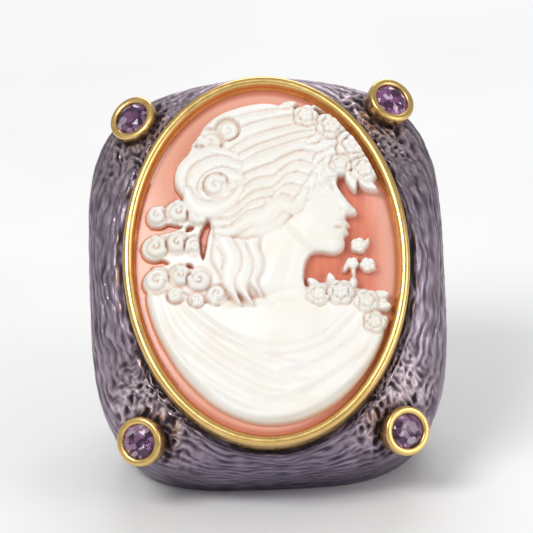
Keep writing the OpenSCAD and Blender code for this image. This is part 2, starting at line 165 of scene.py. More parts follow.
def lattice_noise(x, y, seed, period):
    """Smooth noise from -1 to 1 on a unit lattice that repeats in x after a period."""
    angle = np.random.default_rng(seed).uniform(0, 2 * math.pi, (period, NOISE_ROWS))
    xi, yi = np.floor(x).astype(int), np.floor(y).astype(int)
    xf, yf = x - xi, y - yi
    sx, sy = (t * t * t * (t * (t * 6 - 15) + 10) for t in (xf, yf))

    def corner(dx, dy):
        a = angle[(xi + dx) % period, (yi + dy) % NOISE_ROWS]
        return np.cos(a) * (xf - dx) + np.sin(a) * (yf - dy)

    low = corner(0, 0) * (1 - sx) + corner(1, 0) * sx
    high = corner(0, 1) * (1 - sx) + corner(1, 1) * sx
    return NOISE_GAIN * (low * (1 - sy) + high * sy)


def placed(name, data):
    """A new object in the scene."""
    made = bpy.data.objects.new(name, data)
    bpy.context.scene.collection.objects.link(made)
    return made


def new_mesh(name, points, faces):
    """A mesh object from points in the ring's own frame."""
    mesh = bpy.data.meshes.new(name)
    mesh.from_pydata(at_rest(points).tolist(), [], faces)
    mesh.validate()
    return placed(name, mesh)


def smooth_with_edges(piece, degrees):
    """Shades a piece smooth, with sharp edges where its faces turn more than that."""
    piece.data.shade_smooth()
    piece.data.set_sharp_from_angle(angle=math.radians(degrees))


def band_faces(rings, n, closed=False):
    """Quads between rings of n points each, and back to the first where closed. They
    face outwards where the rings turn against the clock and rise."""
    return [(k * n + i, k * n + (i + 1) % n,
             (k + 1) % rings * n + (i + 1) % n, (k + 1) % rings * n + i)
            for k in range(rings if closed else rings - 1) for i in range(n)]


def skinned(name, rings):
    """A closed solid through rings of points, the first and last closed flat."""
    n = len(rings[0])
    faces = band_faces(len(rings), n)
    faces.append(tuple(range(n - 1, -1, -1)))
    faces.append(tuple((len(rings) - 1) * n + i for i in range(n)))
    return new_mesh(name, np.concatenate(rings), faces)


def carried(name, profile, path):
    """A closed profile carried around the outlines that path gives for its points."""
    loops = [path(*point) for point in profile]
    return new_mesh(name, np.concatenate(loops), band_faces(len(loops), len(loops[0]), closed=True))


def solid_result(piece):
    """Applies every modifier of a piece and leaves it a plain mesh."""
    graph = bpy.context.evaluated_depsgraph_get()
    mesh = bpy.data.meshes.new_from_object(piece.evaluated_get(graph))
    old = piece.data
    piece.modifiers.clear()
    piece.data = mesh
    mesh.name = piece.name
    bpy.data.meshes.remove(old)


def cut(piece, cutters, operation="DIFFERENCE"):
    """Cuts a piece with each of the cutters, which are then removed."""
    for cutter in cutters:
        modifier = piece.modifiers.new("cut", "BOOLEAN")
        modifier.operation = operation
        modifier.solver = "MANIFOLD"
        modifier.object = cutter
    solid_result(piece)
    for cutter in cutters:
        mesh = cutter.data
        bpy.data.objects.remove(cutter)
        bpy.data.meshes.remove(mesh)


# Sections of the body, as in the part's source
HEAD_SECTIONS = [
    # rise, width, length, round_x, round_y
    (0.00, 0.970, 1.000, 3.1, 3.9),
    (0.25, 0.995, 1.000, 3.1, 3.9),
    (0.48, 1.000, 1.000, 3.1, 3.9),
    (0.63, 0.990, 0.998, 2.85, 3.2),
    (0.74, 0.970, 0.992, 2.5, 2.6),
    (0.84, 0.940, 0.982, 2.2, 2.2),
    (0.92, 0.902, 0.970, 2.0, 2.0),
    (0.97, 0.868, 0.961, 1.95, 1.95),
    (1.00, 0.838, 0.953, 2.0, 2.0)]
SHANK_SECTIONS = [
    # turn, flank, roundness
    (0.98, 1.12, 7.0),
    (0.90, 1.12, 6.5),
    (0.80, 1.13, 6.0),
    (0.70, 1.14, 5.5),
    (0.60, 1.16, 5.0),
    (0.50, 1.18, 4.8),
    (0.40, 1.20, 4.6),
    (0.30, 1.19, 4.4),
    (0.21, 1.16, 4.2),
    (0.13, 1.11, 4.0),
    (0.06, 1.05, 3.9)]

CORNERS = {
    "tip_left": (-1, 1),
    "tip_right": (1, 1),
    "wrist_left": (-1, -1),
    "wrist_right": (1, -1)}

HEAD_ROUND = HEAD_SECTIONS[2][3:]    # both roundnesses of its widest outline

BODY_SHARP = 48                # degrees from which an edge stays sharp
COLLAR_SHARP = 40
COLLET_SHARP = 35
CAMEO_SHARP = 86
COLLAR_EASE = 0.004            # keeps the finer collar inside the solid's outline
COLLAR_COLUMNS = 288
COLLAR_BEVEL = 0.05
LIP_FORM = ((0.1, 0.36), (0.35, 0.18), (0.8, 0.09), (1, 0))    # share of its width, rise
FOLD_EASE = 0.06               # how much flatter a collet's inner fold is than its outer
CUTTER_COLUMNS = 240
HOLLOW_COLUMNS = 160
COLLET_COLUMNS = 96
OUTLINE_STEPS = 7200           # for measuring along the head's outline
HALVINGS = 40                  # for finding a cushion outline
BODY_COLUMNS = 660
HEAD_STEP = 0.15               # distance between rows on the head
SHANK_STEP = 0.8               # and on the shank
TOP_ROWS = 34                  # rows over its top
SEAT_COVER = 0.4               # how far they go in past the collar's wall
NOISE_ROWS = 256
NOISE_GAIN = 1.5
BARK_DEPTH = 0.24              # deepest recess of the bark finish
BARK_PITCH = 0.74              # from one of its ridges to the next
BARK_END = 8.6                 # the finish starts at this height
BARK_FADE = 1.6                # and is full this much higher
CORNER_IN = (0.6, 1.2)         # from a stone in to the middle of its pebbled corner
CORNER_REACH = (3.6, 5.0)
CORNER_GAIN = 1.7
CORNER_END = 13.6              # the pebbles start at this height
CORNER_FADE = 3.0              # and are full this much higher
JOIN_SHADE_W = 0.45                # the painted shade, with patina, beside the collar and the collets
COLLAR_JOIN_SHADE = 0.45
COLLET_JOIN_SHADE = 0.40
PLAIN_SHADE = 0.34             # how dark the plain shank is
CUT_SHADE = 0.42               # and the surfaces inside it
CUT_DISTANCE = 0.3             # further than this from the skin a surface is inside


def flank(z):
    return SHANK_W / 2 + (HEAD_L - SHANK_W) / 2 * (z + SHANK_R) / (HIP_Z + SHANK_R)


def shank_half_width(turn):
    return HEAD_W / 2 * HEAD_SECTIONS[0][1] * math.cos(math.pi / 2 * turn)


def shank_section_z(turn):
    full = math.sin(math.pi / 2 * SHANK_SECTIONS[0][0])
    return FINGER_R - (FINGER_R + SHANK_R) * math.sin(math.pi / 2 * turn) / full


def body_sections():
    """Half width, half length, both roundnesses and height of every section."""
    rows = []
    for turn, share, roundness in SHANK_SECTIONS:
        z = shank_section_z(turn)
        rows.append((shank_half_width(turn), flank(z) * share, roundness, roundness, z))
    for rise, width, length, round_x, round_y in HEAD_SECTIONS:
        z = FINGER_R + HEAD_H * rise
        rows.append((HEAD_W / 2 * width, HEAD_L / 2 * length, round_x, round_y, z))
    return np.array(rows)


def cushion(half_w, half_l, round_x, round_y, angle):
    """Distances from the middle to a cushion outline in each direction."""
    low, high = np.zeros_like(angle + half_w), np.full_like(angle + half_w, HEAD_L)
    for _ in range(HALVINGS):
        r = (low + high) / 2
        inside = (np.abs(r * np.cos(angle) / half_w) ** round_x
                  + np.abs(r * np.sin(angle) / half_l) ** round_y) < 1
        low, high = np.where(inside, r, low), np.where(inside, high, r)
    return (low + high) / 2


def even_angles():
    """Directions that step evenly around the head's widest outline, and its length."""
    angle = np.linspace(0, 2 * math.pi, OUTLINE_STEPS + 1)
    r = cushion(HEAD_W / 2, HEAD_L / 2, *HEAD_ROUND, angle)
    steps = np.hypot(np.diff(r * np.cos(angle)), np.diff(r * np.sin(angle)))
    around = np.concatenate([[0], np.cumsum(steps)])
    length = around[-1]
    return np.interp(np.arange(BODY_COLUMNS) * length / BODY_COLUMNS, around, angle), length


def bark(around, down, corner, length):
    """Depth of the bark finish, from 0 on a ridge to 1 in a recess. around is the
    distance along the outline, down the distance from the collar over the edge."""
    def grain(size_around, size_down, seed, shift=0.0):
        period = max(1, round(length / size_around))
        return lattice_noise(around / length * period, (down + shift) / size_down + 40, seed, period)

    sway = 0.50 * grain(3.4, 1.9, 1) + 0.20 * grain(1.5, 0.9, 2)
    lines = np.sin(2 * math.pi * (down + sway) / BARK_PITCH + 1.9 * grain(2.1, 1.0, 3))
    strands = 1 - np.abs(grain(2.4, 0.55, 4, sway)) * 2.2
    pebbles = 1 - np.abs(grain(0.76, 0.62, 5, sway)) * 2.2
    thinned = 0.5 + 0.5 * grain(2.6, 1.4, 6)
    side = 0.40 + 0.26 * lines * (0.4 + 0.6 * thinned) + 0.24 * strands
    rough = 0.30 + 0.07 * lines + 0.10 * strands + 0.54 * pebbles
    crest = np.clip(side * (1 - corner) + rough * corner, 0, 1)
    return (1 - crest) * (0.78 + 0.22 * corner)


def body_skin():
    """The head and shank as one closed skin with the bark finish. With it come how dark
    each point is, how near a corner, how much bark it has, and its place on the skin."""
    sections = body_sections()
    steps = np.hypot(np.diff(sections[:, 0]), np.diff(sections[:, 4]))
    run = np.concatenate([[0], np.cumsum(steps)])
    top = run[-1]
    head_start = run[len(SHANK_SECTIONS) - 1]
    shank_rows = round(head_start / SHANK_STEP)
    head_rows = round((top - head_start) / HEAD_STEP)
    at = np.concatenate([np.linspace(0, head_start, shank_rows, endpoint=False),
                         np.linspace(head_start, top, head_rows)])
    half_w, half_l, round_x, round_y, z = (smooth_row(run, sections[:, k], at)[:, None]
                                           for k in range(5))
    angle, length = even_angles()
    r = cushion(half_w, half_l, round_x, round_y, angle[None, :] + 0 * z)
    down = top - at[:, None] + 0 * r
    # over the top, in to the collar's seat
    oval = 1 / np.hypot(np.cos(angle) / (COLLAR_W / 2 - SEAT_COVER),
                        np.sin(angle) / (COLLAR_L / 2 - SEAT_COVER))
    share = np.arange(1, TOP_ROWS + 1)[:, None] / TOP_ROWS
    inward = r[-1] + (oval - r[-1]) * share
    down = np.concatenate([down, inward - r[-1]])
    r = np.concatenate([r, inward])
    z = np.concatenate([z, np.full((TOP_ROWS, 1), TABLE_Z)])
    points = np.stack([r * np.cos(angle), r * np.sin(angle), z + 0 * r], -1)

    along = np.roll(points, -1, 1) - np.roll(points, 1, 1)
    up = np.gradient(points, axis=0)
    normal = np.cross(along, up)
    normal /= np.linalg.norm(normal, axis=2, keepdims=True)

    around = np.arange(BODY_COLUMNS)[None, :] * length / BODY_COLUMNS + 0 * z
    near = np.exp(-((np.abs(points[..., 0]) - GEM_X + CORNER_IN[0]) / CORNER_REACH[0]) ** 2
                  - ((np.abs(points[..., 1]) - GEM_Y + CORNER_IN[1]) / CORNER_REACH[1]) ** 2)
    above = np.clip((points[..., 2] - CORNER_END) / CORNER_FADE, 0, 1)
    corner = np.clip(CORNER_GAIN * near * above, 0, 1)
    barked = np.clip((points[..., 2] - BARK_END) / BARK_FADE, 0, 1)
    depth = bark(around, down, corner, length) * barked
    # painted shade, with patina, in bands beside the collar and around each collet, darkening the silver there
    crease = COLLAR_JOIN_SHADE * np.exp(-((r - oval - SEAT_COVER) / JOIN_SHADE_W) ** 2)
    for sx, sy in CORNERS.values():
        foot, head = on_corner(sx, sy)(np.array([(0.0, 0.0, 0.0), (0.0, 0.0, 1.0)]))
        off = np.linalg.norm(np.cross(points - foot, head - foot), axis=2) - COLLET_R
        crease = np.maximum(crease, COLLET_JOIN_SHADE * np.exp(-(off / JOIN_SHADE_W) ** 2))
    shade = np.clip(depth + crease * above + PLAIN_SHADE * (1 - barked), 0, 1)
    points -= normal * (BARK_DEPTH * depth)[..., None]
    turn = 2 * math.pi * around / length
    round_r = length / 2 / math.pi
    wrap = np.stack([round_r * np.cos(turn), round_r * np.sin(turn), down], -1)
    return points, shade, corner, barked, wrap


def flank_cutter(side):
    """What lies beyond the flank on one side."""
    half = HEAD_L + HEAD_W
    y0, y1 = (0, 2 * half) if side > 0 else (-2 * half, 0)
    low = np.array([(-half, y0, -half), (half, y0, -half), (half, y1, -half), (-half, y1, -half)])
    lean = -side * (math.pi / 2 - LAY_ANGLE)
    c, s = math.cos(lean), math.sin(lean)
    turn = np.array([[1, 0, 0], [0, c, -s], [0, s, c]])
    hip = (0, side * HEAD_L / 2, HIP_Z)
    return skinned("flank_cutter", [low @ turn.T + hip, (low + (0, 0, 2 * half)) @ turn.T + hip])


def oval_ring(half_w, half_l, z, count):
    t = np.arange(count) * 2 * math.pi / count
    return np.stack([half_w * np.cos(t), half_l * np.sin(t), np.full(count, z)], -1)


def oval_cutter(half_w, half_l, *heights):
    """An upright oval between two heights."""
    return skinned("oval_cutter", [oval_ring(half_w, half_l, z, CUTTER_COLUMNS) for z in heights])


def bore_cutter():
    """The hole for the finger."""
    t = -np.arange(CUTTER_COLUMNS) * 2 * math.pi / CUTTER_COLUMNS
    ring = np.stack([FINGER_R * np.cos(t), 0 * t, FINGER_R * np.sin(t)], -1)
    return skinned("bore_cutter", [ring - (0, HEAD_L, 0), ring + (0, HEAD_L, 0)])


def hollow_cutter():
    """The hollow of the head, as in the part's source."""
    low_z = HOLLOW_RISE
    half = (HEAD_L + HEAD_W) / 2
    angle = np.linspace(0, 2 * math.pi, HOLLOW_COLUMNS + 1)[:-1]
    r = cushion(HEAD_W / 2 - WALL_T, HEAD_L / 2 - WALL_T, *HEAD_ROUND, angle)
    outline = np.stack([r * np.cos(angle), r * np.sin(angle), 0 * r], -1)
    hollow = skinned("hollow_cutter", [outline + (0, 0, low_z), outline + (0, 0, HOLLOW_Z)])

    turns = [turn for turn, _, _ in SHANK_SECTIONS if shank_section_z(turn) > low_z - FINGER_R]
    right = [(shank_half_width(turn) - WALL_T, shank_section_z(turn)) for turn in turns]
    left = [(-x, z) for x, z in right[::-1]]
    shoulder = right + [(HEAD_W / 2, TABLE_Z), (-HEAD_W / 2, TABLE_Z)] + left
    shoulders = skinned("shoulder_cutter", [np.array([(x, y, z) for x, z in shoulder])
                                            for y in (half, -half)])
    flank_wall = WALL_T / math.sin(LAY_ANGLE)
    low, high = flank(low_z) - flank_wall, flank(TABLE_Z) - flank_wall
    side = [(-low, low_z), (low, low_z), (high, TABLE_Z), (-high, TABLE_Z)]
    flanks = skinned("flank_wall_cutter", [np.array([(x, y, z) for y, z in side])
                                           for x in (-half, half)])
    cut(hollow, [shoulders, flanks], "INTERSECT")
    return hollow


def on_corner(sx, sy):
    """Where a collet stands: leaning outwards, the stone's girdle at its origin."""
    turn = math.atan2(sy * math.tan(GEM_LEAN_Y), sx * math.tan(GEM_LEAN_X))
    in_x, in_y = TIP_LEFT_IN if (sx, sy) == CORNERS["tip_left"] else (0, 0)
    place = (Matrix.Translation((sx * (GEM_X - in_x), sy * (GEM_Y - in_y), GEM_Z))
             @ Matrix.Rotation(turn, 4, "Z") @ Matrix.Rotation(GEM_LEAN, 4, "Y"))
    rotation, shift = np.array(place.to_3x3()), np.array(place.translation)
    return lambda points: points @ rotation.T + shift


def collet_ring(place):
    """A function that gives a collet's circle at a radius and height, set in its corner."""
    return lambda r, z: place(oval_ring(r, r, z, COLLET_COLUMNS))


def collet_seat_cutter(sx, sy):
    """The stepped seat that a collet stands in, open above the head."""
    rim, foot = COLLET_R + FIT_GAP, COLLET_FOOT_R + FIT_GAP
    ring = collet_ring(on_corner(sx, sy))
    return skinned("seat_cutter", [
        ring(foot, COLLET_FOOT_Z - FIT_GAP), ring(foot, COLLET_FOOT_Z + COLLET_FOOT_H),
        ring(rim, -COLLET_RIM_H), ring(rim, OVERCUT)])


def ring_body():
    """The head and shank. Their finish is kept from the skin's nearest points, which
    are looked up again once everything is cut."""
    points, shade, corner, barked, wrap = body_skin()
    body = skinned("silver_body", list(points))
    tree = KDTree(shade.size)
    for index, vertex in enumerate(body.data.vertices):
        tree.insert(vertex.co, index)
    tree.balance()
    cutters = [flank_cutter(1), flank_cutter(-1), bore_cutter(), hollow_cutter(),
               oval_cutter(COLLAR_W / 2 - SEAT_W, COLLAR_L / 2 - SEAT_W, FINGER_R, SEAT_Z + OVERCUT),
               oval_cutter(COLLAR_W / 2 + FIT_GAP, COLLAR_L / 2 + FIT_GAP, SEAT_Z, TABLE_Z + OVERCUT)]
    cutters += [collet_seat_cutter(sx, sy) for sx, sy in CORNERS.values()]
    cut(body, cutters)
    found = [tree.find(vertex.co) for vertex in body.data.vertices]
    nearest = np.array([index for _, index, _ in found])
    outside = np.array([distance for _, _, distance in found]) < CUT_DISTANCE * MM
    # patina in the bark's recesses, and painted shade beside the collar and the collets
    for name, values, within in (("patina_and_shade", shade, CUT_SHADE), ("corner", corner, 0),
                                 ("barked", barked, 0)):
        body.data.attributes.new(name, "FLOAT", "POINT").data.foreach_set(
            "value", np.where(outside, values.ravel()[nearest], within).astype(np.float32))
    body.data.attributes.new("wrap", "FLOAT_VECTOR", "POINT").data.foreach_set(
        "vector", wrap.reshape(-1, 3)[nearest].ravel().astype(np.float32))
    smooth_with_edges(body, BODY_SHARP)
    return body


def collar_profile():
    """The collar's section as distances in from its outer wall, and heights."""
    low = SEAT_Z + FIT_GAP
    rim = [(RIM_R + RIM_R * math.cos(a), RIM_Z - RIM_R + RIM_R * math.sin(a))
           for a in np.radians(np.linspace(180, 10, 18))]
    lip = [(COLLAR_T + LIP_W * share, LIP_Z + rise) for share, rise in LIP_FORM]
    return ([(COLLAR_BEVEL, low), (0, low + COLLAR_BEVEL)] + rim + lip
            + [(COLLAR_T, LIP_Z), (COLLAR_T, LEDGE_Z), (COLLAR_T + LEDGE_W, LEDGE_Z),
               (COLLAR_T + LEDGE_W, low)])


def cameo_collar():
    def path(inward, height):
        inward += COLLAR_EASE
        return oval_ring(COLLAR_W / 2 - inward, COLLAR_L / 2 - inward, height, COLLAR_COLUMNS)

    collar = carried("gilt_collar", collar_profile()[::-1], path)
    smooth_with_edges(collar, COLLAR_SHARP)
    return collar


def collet(name, sx, sy):
    crown_slope = CROWN_H / (GEM_R - GEM_TABLE_R)
    pavilion_slope = PAVILION_H / GEM_R
    edge = GEM_R + FIT_GAP
    lip = edge - GEM_LIP
    round_r = COLLET_RIM_H - GIRDLE_H
    rim = [(COLLET_R - round_r + round_r * math.cos(a), GIRDLE_H + round_r * math.sin(a))
           for a in np.radians(np.linspace(0, 90, 8))]
    fold = [(lip + round_r * (1 - math.sin(a)),
             COLLET_RIM_H - (round_r - FOLD_EASE) * (1 - math.cos(a)))
            for a in np.radians(np.linspace(0, 90, 5))]
    profile = ([(COLLET_BORE_R, COLLET_FOOT_Z), (COLLET_FOOT_R, COLLET_FOOT_Z),
                (COLLET_FOOT_R, COLLET_FOOT_Z + COLLET_FOOT_H), (COLLET_R, -COLLET_RIM_H)]
               + rim + fold
               + [(lip, GIRDLE_H / 2 + GEM_LIP * crown_slope), (edge, GIRDLE_H / 2),
                  (edge, -GIRDLE_H / 2),
                  (COLLET_BORE_R, -GIRDLE_H / 2 - (edge - COLLET_BORE_R) * pavilion_slope)])
    piece = carried(name, profile, collet_ring(on_corner(sx, sy)))
    smooth_with_edges(piece, COLLET_SHARP)
    return piece


# The carving is drawn on a board of this half width and half length, and
# stretched to the cameo's own. Heights are shares of RELIEF_H.
BOARD_W = 73.2
BOARD_L = 100.0
BOARD_COLUMNS = 440
BOARD_ROWS = 600


def ease(low, high, value):
    """0 to 1 between two values, starting and ending softly."""
    t = np.clip((value - low) / (high - low), 0, 1)
    return t * t * (3 - 2 * t)


def rounded(depth, width):
    """0 to 1 over an edge that wide, as a quarter circle."""
    t = np.clip(depth / width, 0, 1)
    return np.sqrt(1 - (1 - t) ** 2)


def curve(points, closed=False, steps=6):
    """A smooth line through points."""
    p = np.array(points, float)
    if closed:
        before, after, last = np.roll(p, 1, 0), np.roll(p, -1, 0), np.roll(p, -2, 0)
    else:
        before = np.concatenate([p[:1], p[:-2]])
        after, last = p[1:], np.concatenate([p[2:], p[-1:]])
        p = p[:-1]
    t = (np.arange(steps) / steps)[None, :, None]
    a, b, c, d = (q[:, None, :] for q in (before, p, after, last))
    line = 0.5 * (2 * b + (c - a) * t + (2 * a - 5 * b + 4 * c - d) * t ** 2
                  + (3 * b - a - 3 * c + d) * t ** 3)
    line = line.reshape(-1, 2)
    return line if closed else np.concatenate([line, np.array(points[-1:], float)])


class Board:
    """A grid of carving heights, as shares of the full relief."""

    def __init__(self):
        self.step = 2 * BOARD_W / (BOARD_COLUMNS - 1)
        self.x, self.y = np.meshgrid(np.linspace(-BOARD_W, BOARD_W, BOARD_COLUMNS),
                                     np.linspace(-BOARD_L, BOARD_L, BOARD_ROWS))
        self.height = np.zeros(self.x.shape)

    def window(self, points, margin):
        """The part of the grid near some points."""
        low = (np.min(points, 0) - margin + (BOARD_W, BOARD_L)) / self.step
        high = (np.max(points, 0) + margin + (BOARD_W, BOARD_L)) / self.step
        low, high = np.maximum(low.astype(int), 0), high.astype(int) + 2
        return np.s_[low[1]:high[1], low[0]:high[0]]

    def depth_inside(self, outline, window):
        """Distance inside a closed outline, below zero outside it."""
        x, y = self.x[window], self.y[window]
        nearest = np.full(x.shape, 1e9)
        inside = np.zeros(x.shape, bool)
        for a, b in zip(outline, np.roll(outline, -1, 0)):
            e = b - a
            t = np.clip(((x - a[0]) * e[0] + (y - a[1]) * e[1]) / max(e @ e, 1e-9), 0, 1)
            nearest = np.minimum(nearest, (x - a[0] - t * e[0]) ** 2 + (y - a[1] - t * e[1]) ** 2)
            if a[1] != b[1]:
                inside ^= ((a[1] > y) != (b[1] > y)) & (x < a[0] + (y - a[1]) * e[0] / e[1])
        return np.where(inside, 1, -1) * np.sqrt(nearest)

    def along_path(self, path, window):
        """Distance to a path, signed by its side, and how far along it, 0 to 1."""
        x, y = self.x[window], self.y[window]
        nearest = np.full(x.shape, 1e9)
        side, along = np.zeros(x.shape), np.zeros(x.shape)
        lengths = np.linalg.norm(np.diff(path, axis=0), axis=1)
        starts = np.concatenate([[0], np.cumsum(lengths)])
        for a, b, start, length in zip(path[:-1], path[1:], starts, lengths):
            e = (b - a) / length
            t = np.clip((x - a[0]) * e[0] + (y - a[1]) * e[1], 0, length)
            square = (x - a[0] - t * e[0]) ** 2 + (y - a[1] - t * e[1]) ** 2
            near = square < nearest
            nearest = np.where(near, square, nearest)
            along = np.where(near, (start + t) / starts[-1], along)
            side = np.where(near, np.sign((y - a[1]) * e[0] - (x - a[0]) * e[1]), side)
        return side * np.sqrt(nearest), along

    def lay(self, window, body, edge, top):
        """Lays a form over what is there: body is 1 at its crest and 0 at its edge."""
        height = self.height[window]
        height[...] = np.where(body > 0, edge + (top - edge) * body, height)

    def swell(self, x, y, reach_x, reach_y, turn, rise, inside=None):
        """A soft swelling, or a hollow where rise is below zero."""
        window = self.window(np.array([(x, y)]), 2.2 * max(reach_x, reach_y))
        c, s = math.cos(math.radians(turn)), math.sin(math.radians(turn))
        dx, dy = self.x[window] - x, self.y[window] - y
        square = ((dx * c + dy * s) / reach_x) ** 2 + ((dy * c - dx * s) / reach_y) ** 2
        bump = rise * np.exp(-1.6 * square)
        self.height[window] += bump if inside is None else bump * inside[window]

    def dome(self, x, y, reach_x, reach_y, edge, top):
        """Half an egg laid over what is there."""
        window = self.window(np.array([(x, y)]), max(reach_x, reach_y))
        square = ((self.x[window] - x) / reach_x) ** 2 + ((self.y[window] - y) / reach_y) ** 2
        self.lay(window, np.sqrt(np.clip(1 - square, 0, 1)), edge, top)

    def plate(self, outline, edge, top, width):
        """A form with a rounded edge that many units wide."""
        window = self.window(outline, 1)
        self.lay(window, rounded(self.depth_inside(outline, window), width), edge, top)

    def lock(self, points, width, edge, top, strands, root, tip, steps=5, twist=0.0):
        """A lock of hair along a path. Root and tip are shares of its width."""
        path = curve(points, steps=steps)
        window = self.window(path, width)
        side, along = self.along_path(path, window)
        wide = (width * (root + (1 - root) * ease(0, 0.3, along))
                * (tip + (1 - tip) * ease(1, 0.55, along)))
        r = side / wide
        groove = 0.5 + 0.5 * np.cos(math.pi * strands * (r + 1) + math.pi + twist * along)
        body = np.sqrt(np.clip(1 - r * r, 0, 1)) * (0.80 + 0.20 * groove)
        self.lay(window, body, edge, top)

    def spindle(self, start, end, width, bend):
        """A form pointed at both ends: its part of the grid, the distance to its
        middle line, how far along that is, and the half width there."""
        a, b = np.array(start, float), np.array(end, float)
        side_way = np.array([-(b - a)[1], (b - a)[0]]) / np.linalg.norm(b - a)
        path = curve([a, (a + b) / 2 + bend * side_way, b], steps=5)
        window = self.window(path, width)
        side, along = self.along_path(path, window)
        wide = width * np.sin(math.pi * np.clip(along, 0.001, 0.999)) ** 0.75
        return window, side, along, wide

    def gap(self, *shape):
        """An opening down to the ground, pointed at both ends."""
        window, side, _, wide = self.spindle(*shape)
        self.lay(window, wide - np.abs(side), 0, 0)

    def fold(self, points, width, rise, inside):
        """A soft ridge that runs out at both ends."""
        path = curve(points, steps=5)
        window = self.window(path, 1.6 * width)
        side, along = self.along_path(path, window)
        r = side / width
        crest = np.where(r < 0, np.exp(-1.2 * r * r), np.exp(-5.0 * r * r))
        self.height[window] += rise * crest * np.sin(math.pi * along) ** 0.6 * inside[window]

    def curl(self, x, y, radius, start, hand, edge, top, turns=1.35):
        """A lock coiled into its own middle."""
        t = np.linspace(0, 1, 9)
        angle = np.radians(start) + hand * 2 * math.pi * turns * t
        reach = radius * (0.66 - 0.56 * t)
        points = np.stack([x + reach * np.cos(angle), y + reach * np.sin(angle)], 1)
        window = self.window(np.array([(x, y)]), radius)
        rho = np.hypot(self.x[window] - x, self.y[window] - y) / radius
        self.lay(window, np.sqrt(np.clip(1 - rho * rho, 0, 1)) * 0.55, edge * 0.9, top * 0.9)
        self.lock(points, radius * 0.36, edge, top, 3, root=0.85, tip=0.5, steps=4)

    def blossom(self, x, y, radius, petals, turn, edge, top):
        """An open flower with a second, inner round of petals."""
        window = self.window(np.array([(x, y)]), radius)
        dx, dy = self.x[window] - x, self.y[window] - y
        rho = np.hypot(dx, dy) / radius
        for share, more, low in ((1.0, 0.0, 0.0), (0.62, 180 / petals, 0.12)):
            crease = np.abs(np.cos(petals * (np.arctan2(dy, dx) + np.radians(turn + more)) / 2))
            reach = share * (0.80 + 0.20 * crease ** 0.5)
            q = rho / reach
            cup = 0.45 + 0.45 * np.sin(math.pi * np.clip(q, 0, 1) * 0.80) + low
            body = cup * (0.66 + 0.34 * crease ** 0.4) * np.sqrt(np.clip(1 - q ** 8, 0, 1))
            self.lay(window, np.where(q < 1, body, 0), edge, top)
        button = np.sqrt(np.clip(1 - (rho / 0.20) ** 2, 0, 1))
        self.lay(window, button, edge + 0.5 * (top - edge), top)

    def leaf(self, start, end, width, bend, edge, top):
        """A pointed leaf with a midrib and side veins."""
        window, side, along, wide = self.spindle(start, end, width, bend)
        r = side / np.maximum(wide, 1e-6)
        body = np.clip(1 - r * r, 0, 1) ** 0.5
        rib = np.exp(-(side / (0.16 * width)) ** 2)
        veins = 0.5 + 0.5 * np.cos(2 * math.pi * (along * 6 - np.abs(r) * 0.8))
        self.lay(window, body * (1 - 0.30 * rib) * (1 - 0.10 * veins), edge, top)


BUST = [(-66, -16), (-64, -32), (-58, -47), (-47.5, -65), (-31, -82), (-13, -91.5), (3.5, -93.5),
        (20.5, -90), (38, -80), (54, -63), (63, -46), (60, -35), (66, -28), (62, -22), (48, -18),
        (34, -14.5), (22, -17), (8, -21), (-20, -24), (-40, -12), (-54, -10)]
FACE = [(30, 64), (38, 63), (41.5, 56.5), (42, 49), (40.4, 42.5), (43.2, 36.5), (47.6, 30),
        (50.6, 26.2), (49.4, 23.6), (44.6, 22.6), (44.8, 20), (46.6, 17.6), (44.5, 15.4), (45.8, 13), (43, 10.2),
        (43.4, 6.6), (41.6, 2.6), (37, .4), (30, 1.4), (24.5, .6), (21.5, -4), (20.2, -11), (21, -18),
        (26, -27), (-24, -34), (-22, -14), (-20, 2), (-16, 20), (-8, 46), (10, 62)]
CAP = [(40, 62), (31, 50), (23, 36), (16, 23), (6, 15), (-10, 10), (-24, 14), (-34, 28),
       (-41, 40), (-42, 54), (-36, 66), (-26, 76.5), (-8, 83.5), (12, 85.5), (32, 83.5), (44, 78), (48, 70)]


def bust(board):
    """The chest and shoulders, and the gown over them."""
    outline = curve(BUST, closed=True, steps=4)
    window = board.window(outline, 2)
    depth = board.depth_inside(outline, window)
    inside = np.zeros(board.x.shape)
    inside[window] = ease(0, 6, depth)
    board.lay(window, rounded(depth, 8), 0.10, 0.50)
    board.swell(4, -38, 30, 16, 0, 0.10, inside)
    # collar bones
    board.swell(10, -27, 16, 2.4, -8, 0.05, inside)
    board.swell(-14, -30, 14, 2.2, 8, 0.04, inside)
    board.swell(3, -26, 3.5, 3.5, 0, -0.05, inside)
    # gown: everything under the neckline is one layer higher
    neckline = curve([(-58, -8), (-44, -22), (-24, -40), (2, -50), (26, -46), (42, -32), (52, -20),
                      (72, -14), (72, -98), (-72, -98), (-72, -8)], closed=True, steps=4)
    gown = np.minimum(board.depth_inside(neckline, window), depth)
    board.height[window] += 0.10 * rounded(gown, 2.2)
    cloth = np.zeros(board.x.shape)
    cloth[window] = ease(0, 3, gown)
    hem = np.exp(-((gown - 3.6) / 1.3) ** 2) * ease(1, 4, depth)
    groove = np.exp(-((gown - 6.0) / 0.9) ** 2) * ease(1, 4, depth)
    board.height[window] += 0.05 * hem - 0.05 * groove
    for points, width, rise in (
            (((-62, -22), (-56, -46), (-36, -68), (-8, -84), (14, -87)), 3.6, 0.16),
            (((-58, -18), (-50, -40), (-30, -60), (-4, -76), (22, -81)), 3.4, 0.15),
            (((-53, -16), (-44, -34), (-26, -52), (0, -67), (28, -74)), 3.2, 0.15),
            (((-48, -17), (-38, -31), (-20, -46), (4, -59), (30, -65)), 3.0, 0.13),
            (((63, -44), (56, -58), (38, -74), (12, -88), (-14, -89)), 3.6, 0.14),
            (((60, -36), (52, -52), (36, -64), (14, -76), (-8, -80)), 3.4, 0.14),
            (((55, -28), (48, -42), (34, -54), (16, -62), (-2, -66)), 3.0, 0.13),
            (((48, -24), (42, -36), (30, -45), (16, -52)), 2.6, 0.10)):
        board.fold(points, width, rise, cloth)


